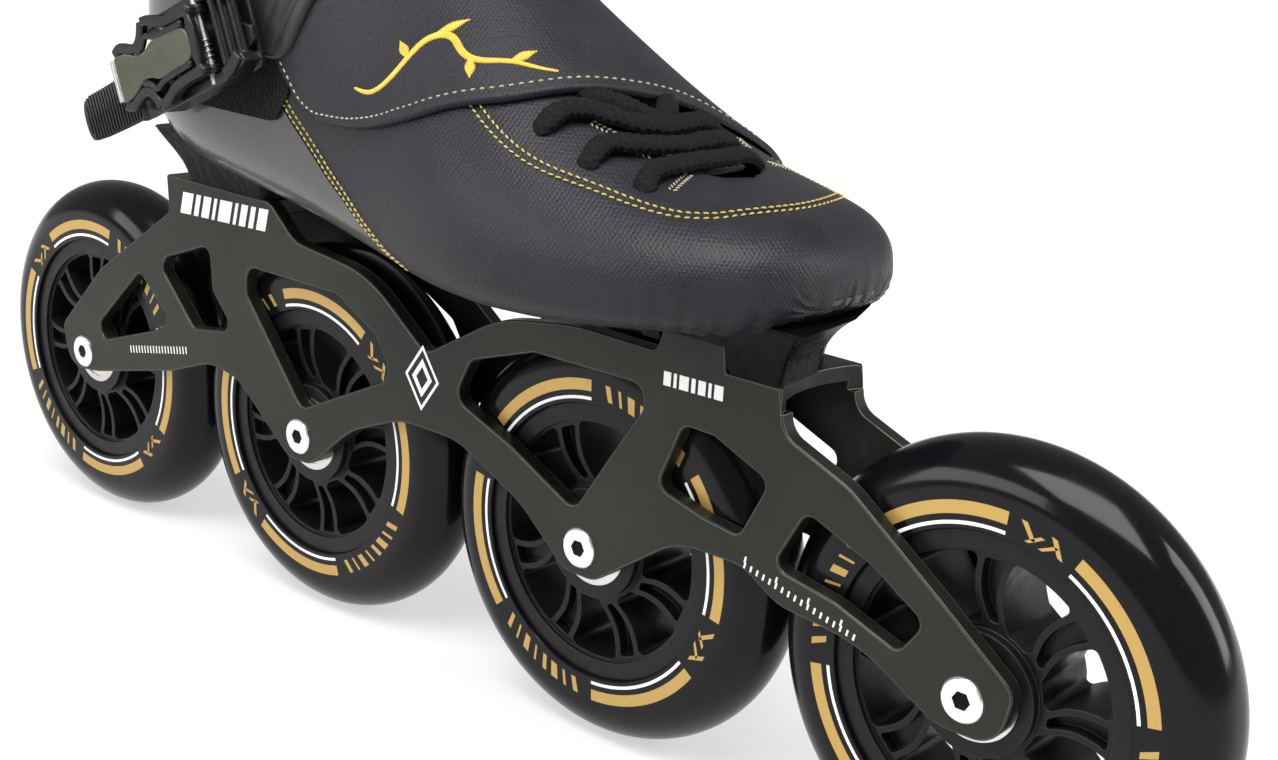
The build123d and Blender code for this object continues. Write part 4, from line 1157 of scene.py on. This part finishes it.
# ------------------------------------------------------------------ laces
LACE_WIDTH, LACE_THICK, CROSSING_THICK = 5.0, 2.9, 2.2
LACE_STEP = 0.55                # between the lace's cross-sections
LACE_SIDES = 36                 # corners of a cross-section
YARN_ALONG, YARN_ROUND = 1.5, 0.349         # how fast the braid's yarns turn along and round the lace


class Braid(Pile):
    """Laces in one mesh, with length-wise coordinates for their weave."""

    def __init__(self):
        super().__init__()
        self.uvs = []

    def lay(self, route, width, thick, phase):
        """Flat braided lace along a route of u, g and lift over the boot."""
        length = line_lengths(BOOT.skin(*route))
        count = int(length[-1] / LACE_STEP)
        want = np.linspace(0, length[-1], count)
        u, g, lift = [np.interp(want, length, value) for value in route]
        centre = BOOT.skin(u, g, lift)
        # the middle line is averaged over seven places, with its ends repeated
        kernel = np.ones(7) / 7
        for axis in range(3):
            padded = np.concatenate([[centre[0, axis]] * 3, centre[:, axis], [centre[-1, axis]] * 3])
            centre[:, axis] = np.convolve(padded, kernel, "valid")
        along = unit(np.gradient(centre, axis=0))
        side = unit(np.cross(BOOT.normal(u, g), along))
        up = np.cross(along, side)
        ring = LACE_SIDES
        points = []
        for i in range(count):
            end = min(i, count - 1 - i)
            taper = math.sqrt(1 - (1 - min(end / 5, 1)) ** 2)
            swell = 1 + 0.06 * math.sin(want[i] * 0.9 + phase)
            for k, (ca, sa) in enumerate(circle(1.0, ring)):
                w = math.copysign(abs(ca) ** 0.75, ca) * width / 2 * swell
                h = math.copysign(abs(sa) ** 0.8, sa) * thick / 2
                yarns = [abs(math.sin(want[i] * YARN_ALONG + lean * k * YARN_ROUND)) for lean in (1, -1)]
                braid = 0.55 * max(yarns) ** 3 - 0.2
                radial = side[i] * ca + up[i] * sa
                points.append(centre[i] + (side[i] * w + up[i] * h + radial * braid) * max(taper, 0.05))
                self.uvs.append((want[i] * 0.6, k / ring * 9.0))
        ends = [tuple(reversed(range(ring))), tuple((count - 1) * ring + k for k in range(ring))]
        self.add(points, grid_faces(count, ring, wrap=True) + ends)


def lace_route(places):
    """Route from ((x, y, z), lift) places."""
    u, g = BOOT.nearest([place for place, lift in places])
    route = np.stack([u, g, [lift for place, lift in places]], axis=1)
    knots = line_lengths(BOOT.skin(*route.T))
    return natural_spline(knots, route, np.linspace(0, knots[-1], 200)).T


# ((x, y, z), lift) places of the three rows and of the lengths that cross between them
LACE_ROWS = [
    [((78.8, -28.6, 151.4), -1.4), ((79.0, -26.8, 152.2), 0.8), ((78.4, -23.8, 153.2), 2.5),
     ((78.6, -19.5, 154.4), 2.6), ((79.6, -14.0, 154.9), 2.4), ((81.0, -8.0, 155.0), 2.2),
     ((81.8, -1.0, 155.1), 2.4), ((82.2, 5.0, 154.9), 2.2), ((82.0, 9.0, 154.6), 0.4),
     ((81.5, 12.0, 154.2), -2.4)],
    [((64.2, -32.2, 155.0), -1.4), ((64.6, -30.2, 156.0), 1.0), ((65.0, -26.0, 157.6), 2.6),
     ((67.8, -20.6, 158.2), 2.6), ((71.4, -14.6, 158.0), 2.5), ((73.8, -7.5, 157.6), 2.4),
     ((74.2, 0.5, 157.8), 2.6), ((73.8, 6.5, 157.4), 2.2), ((73.4, 10.5, 156.8), 0.4),
     ((73.0, 13.5, 156.2), -2.4)],
    [((49.6, -32.6, 160.8), -1.4), ((50.4, -30.6, 161.8), 1.2), ((52.0, -26.4, 163.4), 2.7),
     ((55.6, -21.2, 164.0), 2.7), ((60.2, -17.4, 162.9), 2.6), ((64.0, -13.6, 161.4), 2.6),
     ((66.6, -8.0, 161.0), 2.4), ((67.4, -1.0, 160.9), 2.2), ((67.0, 6.5, 160.4), 2.2),
     ((66.6, 11.5, 159.4), 0.4), ((66.2, 14.5, 158.6), -2.4)],
]
LACE_CROSSINGS = [
    [((47.5, -17.5, 169.6), 0.2), ((52.8, -15.3, 167.4), 1.6), ((57.6, -12.0, 165.8), 2.0),
     ((62.3, -8.5, 163.6), 1.8), ((67.5, -4.0, 161.4), 0.6), ((72.5, 3.0, 158.8), 0.0),
     ((76.0, 9.0, 156.8), -0.8), ((77.0, 13.0, 155.6), -2.0)],
    [((52.0, 6.0, 169.0), 0.6), ((57.5, 3.0, 166.8), 1.6), ((62.0, -2.0, 164.8), 1.4),
     ((66.0, -9.5, 161.6), 0.0), ((69.0, -16.5, 158.6), -0.4), ((70.5, -22.0, 156.6), -1.4)],
    [((66.0, 12.5, 160.2), -0.8), ((70.5, 7.0, 160.0), 0.4), ((75.0, 1.0, 158.0), 0.4),
     ((79.0, -7.5, 155.6), 0.0), ((80.5, -15.0, 153.6), -1.2)],
]


def make_laces():
    """Three rows of flat lace, and thinner lengths that cross between them."""
    braid = Braid()
    for k, places in enumerate(LACE_ROWS):
        braid.lay(lace_route(places), LACE_WIDTH, LACE_THICK, k)
    for k, places in enumerate(LACE_CROSSINGS):
        braid.lay(lace_route(places), LACE_WIDTH, CROSSING_THICK, 3 + k)
    laces = braid.object("laces_braided", "lace", weld=False, sharp_angle=180)
    layer = laces.data.uv_layers.new(name="length")
    for loop in laces.data.loops:
        layer.data[loop.index].uv = braid.uvs[loop.vertex_index]
    settle(laces, "skate", "lace", "laces")


# ------------------------------------------------------------------ buckle
def rounded(points, times=2, closed=True):
    """Cut a line's corners again and again, so that they come out round."""
    points = [np.array(p, float) for p in points]
    for _ in range(times):
        cut = []
        last = len(points) if closed else len(points) - 1
        for i in range(last):
            a, b = points[i], points[(i + 1) % len(points)]
            cut += [a * 0.75 + b * 0.25, a * 0.25 + b * 0.75]
        if not closed:
            cut = [points[0]] + cut[1:-1] + [points[-1]]
        points = cut
    return points


def ribbon(points, half):
    """Outline of a bar that runs along a line, with half its width to each side."""
    line = np.array(rounded(points, 3, closed=False))
    along = unit(np.gradient(line, axis=0))
    side = np.stack([-along[:, 1], along[:, 0]], axis=1) * half
    return list(line + side) + list((line - side)[::-1])


def in_buckle(u, v, w):
    """Shared-frame place: u along the strap, v across it, w outward."""
    c, s = math.cos(BUCKLE_TILT), math.sin(BUCKLE_TILT)
    return (BUCKLE_AT[0] + u * c - v * s, BUCKLE_AT[1] - w, BUCKLE_AT[2] + u * s + v * c)


class BucklePile(Pile):
    """Shapes in the buckle's own directions, raised millimetres up along v."""

    def __init__(self, raised):
        super().__init__()
        self.raised = raised

    def slab(self, outline, w0, w1, rise=0.0):
        """Plate with a (u, v) outline; rise lifts its top in the middle of its length."""
        us = [p[0] for p in outline]
        low, high = min(us), max(us)
        tops = [w1 + rise * math.sin(math.pi * (u - low) / (high - low)) for u in us]
        points = [in_buckle(u, v + self.raised, w0) for u, v in outline]
        points += [in_buckle(u, v + self.raised, w) for (u, v), w in zip(outline, tops)]
        self.add(points, prism_faces(len(outline)))

    def rod(self, u, w, radius, v0, v1):
        """Round rod across the strap."""
        ring = circle(radius, 20)
        points = [in_buckle(u + a, v + self.raised, w + b) for v in (v0, v1) for a, b in ring]
        self.add(points, prism_faces(len(ring)))

    def round_piece(self, name, material, width, body, slot, *replaced, segments=2):
        """The pile as one piece with its edges rounded by width."""
        obj = bevelled(self.object(name, material, sharp_angle=40), width, segments)
        return settle(obj, body, slot, *replaced)


def bevelled(obj, width, segments):
    """Round all of a mesh's sharp edges."""
    modifier = obj.modifiers.new("round", "BEVEL")
    modifier.width = width * MM
    modifier.segments = segments
    modifier.limit_method = "ANGLE"
    modifier.angle_limit = math.radians(38)
    modifier.harden_normals = False
    return baked(obj)


def box(u0, u1, v0, v1):
    """Corners of a rectangle."""
    return [(u0, v0), (u1, v0), (u1, v1), (u0, v1)]


def mirrored(line, side):
    """A (u, v) line, mirrored for side -1."""
    return [(u, side * v) for u, v in line]


LEVER_AXIS = (10.5, 4.6)        # u and w of the lever's hinge


def make_buckle_base():
    """Base plate with two stepped side cheeks, and the ribbed hinge housing at its nose."""
    base = BucklePile(BUCKLE_RAISED)
    base.slab(rounded([(-14, -12.3), (24, -12.3), (26, -9), (26, 9), (24, 12.3), (-14, 12.3)], 1), -1.5, 0)
    cheek = [(-14, 11.0), (-10, 11.0), (-4, 11.0), (4, 11.0), (14, 11.0), (20, 10.6), (25, 8.5)]
    nose = [(17.0, 10.9), (20, 10.6), (24.5, 8.0)]
    for side in (-1, 1):
        base.slab(ribbon(mirrored(cheek, side), 1.45), -1.5, 5.4)
        base.slab(ribbon(mirrored(nose, side), 1.6), 0.0, 6.8)
    for k in range(3):
        base.rod(18.0 + k * 2.5, 4.8 - k * 1.0, 1.4, -8.8, 8.8)
    base.round_piece("buckle_housing", "buckle", 0.45, "skate", "buckle", "buckle_base")

    pins = BucklePile(BUCKLE_RAISED)
    pins.rod(*LEVER_AXIS, 1.2, -11.9, 11.9)
    pins.rod(-6.0, 4.6, 1.0, -11.9, 11.9)
    pins.piece("buckle_hinge_pins", "fastener", "skate", "buckle", "buckle_pins", sharp_angle=40)


def make_lever():
    """An olive middle plate, black arms that step round it and a polished lip."""
    outer = [(12.4, 8.0), (5.0, 8.0), (-1.5, 8.6), (-5.5, 11.0), (-9.5, 11.4), (-11.5, 7.6), (-14.5, 5.6),
             (-18.5, 6.8), (-22.0, 8.4), (-25.0, 7.0)]
    inner = [(9.0, 5.4), (1.0, 5.6), (-5.0, 6.0), (-8.5, 7.6), (-10.5, 5.0), (-14.0, 3.9)]
    eye = box(7.2, 12.8, 7.0, 9.2)
    arms = BucklePile(BUCKLE_RAISED)
    for side in (-1, 1):
        arms.slab(ribbon(mirrored(outer[:5], side), 1.4), 6.0, 9.4)
        arms.slab(ribbon(mirrored(outer[4:], side), 1.4), 7.3, 9.5)
        arms.slab(ribbon(mirrored(inner, side), 0.85), 8.6, 10.1)
        arms.rod(*LEVER_AXIS, 2.9, side * 7.0, side * 9.2)
        arms.slab(rounded(mirrored(eye, side), 1), 4.6, 9.0)
    arms.slab(rounded(box(9.6, 12.8, -7.6, 7.6), 1), 7.4, 9.4)
    arms.round_piece("lever_arms", "buckle", 0.5, "lever", "lever", "buckle_lever")

    half = [(10.0, 5.0), (0.0, 5.0), (-6.0, 5.4), (-9.5, 3.6), (-14.0, 3.4), (-19.0, 5.8), (-24.0, 6.6),
            (-26.0, 5.6)]
    plate = BucklePile(BUCKLE_RAISED)
    plate.slab(rounded(half + mirrored(half, -1)[::-1], 2), 7.7, 9.5, 0.5)
    plate.round_piece("lever_plate", "lever", 0.4, "lever", "lever")

    lip = BucklePile(BUCKLE_RAISED)
    lip.rod(-26.0, 9.0, 1.15, -5.8, 5.8)
    lip.round_piece("lever_lip", "fastener", 0.3, "lever", "lever")


def make_ladder():
    """Toothed strap: a straight length through the buckle, and a thin band round the ankle under the pad."""
    ladder = BucklePile(0.0)
    tail, nose, half, corner = -58.0, 27.0, 7.0, 3.0
    near_end = [(tail, -half + corner), (tail + corner, -half)]
    ladder.slab(rounded(near_end + [(nose, -half), (nose, half)] + mirrored(near_end, -1)[::-1], 2), 0.2, 1.9)
    teeth, first_tooth, pitch = 21, -55.5, 1.5
    for k in range(teeth):
        u = first_tooth + k * pitch
        # the teeth get shorter towards the rounded tail
        reach = 6.5 - 2.4 * max(0.0, (-53.0 - u) / 2.5) ** 2
        ladder.slab(box(u - 0.32, u + 0.32, -reach, reach), 1.7, 2.55)
    ladder.round_piece("ladder_toothed", "ladder", 0.15, "skate", "ladder", "ladder_strap", segments=1)

    u, g = Band(CUFF_LOW, CUFF_HIGH).grid(1.6, 1.2, 5.0, 5.0)
    sheet_piece("ladder_band", sheet_shell(u, g, LADDER_BAND, 0.6, rim(u, g)), "ladder", "ladder")


# ------------------------------------------------------------------ rivets and ribbed cuff pad
CUFF_LOW = [(-37.0, -33.5, 165.0), (-31.0, -31.0, 178.0), (-23.0, -26.5, 192.0), (-11.0, -18.0, 203.0),
            (-1.0, -6.0, 208.5), (0.0, 4.0, 209.0), (-4.0, 14.0, 206.0), (-12.0, 24.0, 194.0),
            (-25.0, 30.5, 180.0), (-40.0, 33.0, 168.0), (-53.0, 34.0, 160.0), (-65.0, 34.5, 153.5)]
CUFF_HIGH = [(-52.0, -34.5, 168.5), (-48.0, -33.0, 182.0), (-40.0, -30.5, 197.0), (-28.0, -22.0, 212.0),
             (-15.0, -8.0, 219.0), (-13.0, 4.0, 219.5), (-20.0, 16.0, 216.0), (-32.0, 26.0, 208.0),
             (-43.0, 31.0, 197.0), (-53.0, 33.0, 186.0), (-63.0, 34.0, 175.0), (-71.0, 34.5, 166.0)]
RIVET_IN = (-62.0, 34.5, 163.0)


def make_rivets():
    """Rivets: two under the buckle, and a domed one through the pad's fixed end."""
    rivets = BucklePile(BUCKLE_RAISED)
    head = circle(2.2, 24)
    for middle in (19.0, 0.0):
        rivets.slab([(middle + a, b) for a, b in head], -2.0, 0.4)
    u, g = BOOT.nearest([RIVET_IN])
    foot = BOOT.at(u, g)[0]
    out = BOOT.normal(u, g)[0]
    along = np.cross(out, (0.0, 0.0, 1.0))
    along /= np.linalg.norm(along)
    across = np.cross(out, along)
    dome = ((0.5, 3.3), (5.0, 3.3), (5.5, 2.64), (5.8, 1.155))
    points = [foot + out * height + along * a + across * b for height, radius in dome
              for a, b in circle(radius, 24)]
    ends = [tuple(range(24)), tuple(range(4 * 24 - 1, 3 * 24 - 1, -1))]
    rivets.add(points, ends + grid_faces(4, 24, wrap=True))
    rivets.piece("rivet_heads", "fastener", "skate", "buckle", "strap_rivets")


def make_cuff_pad():
    """Rounded pad over the ankle strap, with three long flutes and a raised rim."""
    band = Band(CUFF_LOW, CUFF_HIGH)
    u, g = band.grid(0.8, 1.2, 7.0, 7.0)
    width_at = np.linalg.norm(BOOT.at(u[-1], g[-1]) - BOOT.at(u[0], g[0]), axis=1)
    share = eased_steps(band.width, 0.8, 1.2) / band.width
    across = share[:, None] * width_at[None]

    def relief(points, distance):
        flutes = 0.75 * np.abs(np.sin(across * math.pi / (band.width / 3.0))) ** 0.45
        return smooth_step(distance, 1.8, 3.2) * (flutes - 0.9)

    shell = sheet_shell(u, g, CUFF_PAD, 1.2, rim(u, g), relief)
    sheet_piece("cuff_pad_ribbed", shell, "pad", "pad", "cuff_pad")


# ------------------------------------------------------------------ plain white marks on the rail
def frame_marks():
    """Bars, a nested diamond and scale ticks, instead of names and sizes."""
    marks = Pile()

    def both_sides(outline):
        for side in (-1, 1):
            marks.plate(outline, *printed(side, RAIL_FACE, 0.07))

    def bars(start, along, rise, widths, gap, lean):
        """Upright bars from start, in a row whose direction is along."""
        x, z = start
        for width in widths:
            foot = [(x, z), (x + along[0] * width, z + along[1] * width)]
            both_sides(foot + [(a + lean, b + rise) for a, b in reversed(foot)])
            x += along[0] * (width + gap)
            z += along[1] * (width + gap)

    def corner(k, size):
        """Corner k of an upright diamond in the middle of the rail."""
        a = math.pi / 2 * k
        return (-3.9 + math.cos(a) * size * 0.72, 85.4 + math.sin(a) * size)

    # broad bars on the rear and front of the rail's top, then the scales of fine ticks
    bars((-112.5, 111.4), (0.999, 0.04), 6.6, (5.2, 2.2, 3.6, 1.4, 5.8, 1.4, 3.0, 2.2, 4.2), 1.5, 1.6)
    bars((79.6, 104.0), (0.999, 0.02), 3.5, (2.2, 0.9, 2.8, 1.2, 2.2, 0.9, 2.6), 0.85, 0.0)
    bars((107.2, 66.2), (0.974, -0.226), 1.5, (0.5,) * 18, 1.4, 0.35)
    bars((107.2, 67.6), (0.974, -0.226), 1.5, (0.5,) * 4, 9.0, 0.35)
    bars((-140.4, 60.8), (0.978, 0.21), 2.3, (0.45,) * 20, 1.15, -0.4)
    # one diamond inside another
    for size, inner in ((9.2, 7.9), (5.4, 3.2)):
        for k in range(4):
            both_sides([corner(k, size), corner(k + 1, size), corner(k + 1, inner), corner(k, inner)])
    marks.piece("frame_marks", "white_ink", "skate", "frame", **FLAT)


# ------------------------------------------------------------------ camera, light and floor
CAMERA_AT = Vector((331.2, -326.4, 224.7)) * MM
CAMERA_TURN = [math.radians(degrees) for degrees in (39.91, 16.72, 3.64)]
CAMERA_LENS = 49.65


def make_camera():
    """Camera of the picture's view, from its place, azimuth, elevation and roll."""
    azimuth, elevation, roll = CAMERA_TURN
    back = Vector((math.sin(azimuth) * math.cos(elevation), -math.cos(azimuth) * math.cos(elevation),
                   math.sin(elevation)))
    right = Vector((math.cos(azimuth), math.sin(azimuth), 0))
    up = back.cross(right)
    x_axis = right * math.cos(roll) + up * math.sin(roll)
    y_axis = up * math.cos(roll) - right * math.sin(roll)
    data = bpy.data.cameras.new("camera")
    data.lens = CAMERA_LENS
    data.sensor_width = 36.0
    data.clip_start = 0.01
    matrix = Matrix((x_axis, y_axis, back)).transposed().to_4x4()
    matrix.translation = CAMERA_AT
    camera = in_scene("camera", data)
    camera.matrix_world = matrix
    bpy.context.scene.camera = camera


def area_light(name, place, target, size, power):
    """Rectangular lamp that faces its target."""
    data = bpy.data.lights.new(name, "AREA")
    data.shape = "RECTANGLE"
    data.size, data.size_y = size
    data.energy = power
    light = in_scene(name, data)
    light.location = place
    light.rotation_euler = (Vector(target) - Vector(place)).to_track_quat("-Z", "Y").to_euler()


def make_studio():
    """Soft white light, and a floor that reaches far beyond the picture."""
    world = bpy.data.worlds.new("studio")
    world.use_nodes = True
    background = world.node_tree.nodes["Background"]
    background.inputs["Color"].default_value = (1, 1, 1, 1)
    background.inputs["Strength"].default_value = 0.32
    bpy.context.scene.world = world
    area_light("key_above", (0.25, -0.35, 1.10), (0.0, 0.0, 0.1), (1.0, 0.7), 21.0)
    area_light("side_box", (-0.55, -0.95, 0.55), (0.0, 0.0, 0.1), (0.9, 0.5), 8.0)
    area_light("back_box", (0.95, 0.55, 0.55), (0.15, 0.0, 0.06), (0.35, 0.8), 7.0)
    mesh = bpy.data.meshes.new("floor")
    reach = 14.0
    mesh.from_pydata([(x, y, 0) for x, y in box(-reach, reach, -reach, reach)], [], [(0, 1, 2, 3)])
    floor = in_scene("floor", mesh)
    floor.data.materials.append(floor_material())
    bpy.context.scene.view_settings.view_transform = "Standard"


# ------------------------------------------------------------------ everything
dress_cad_nodes()
for wheel, turned in zip((1, 2, 3, 4), (-28.0, 57.0, -10.5, 86.0)):
    make_tyre(wheel)
    wheel_prints(wheel, turned)
make_socket_shadows()
make_upper()
make_lining()
make_tongue()
make_insole()
make_seam_stitches()
make_instep_strap()
make_embroidery()
make_laces()
make_buckle_base()
make_lever()
make_ladder()
make_cuff_pad()
make_rivets()
frame_marks()
make_studio()
make_camera()

bpy.context.view_layer.update()
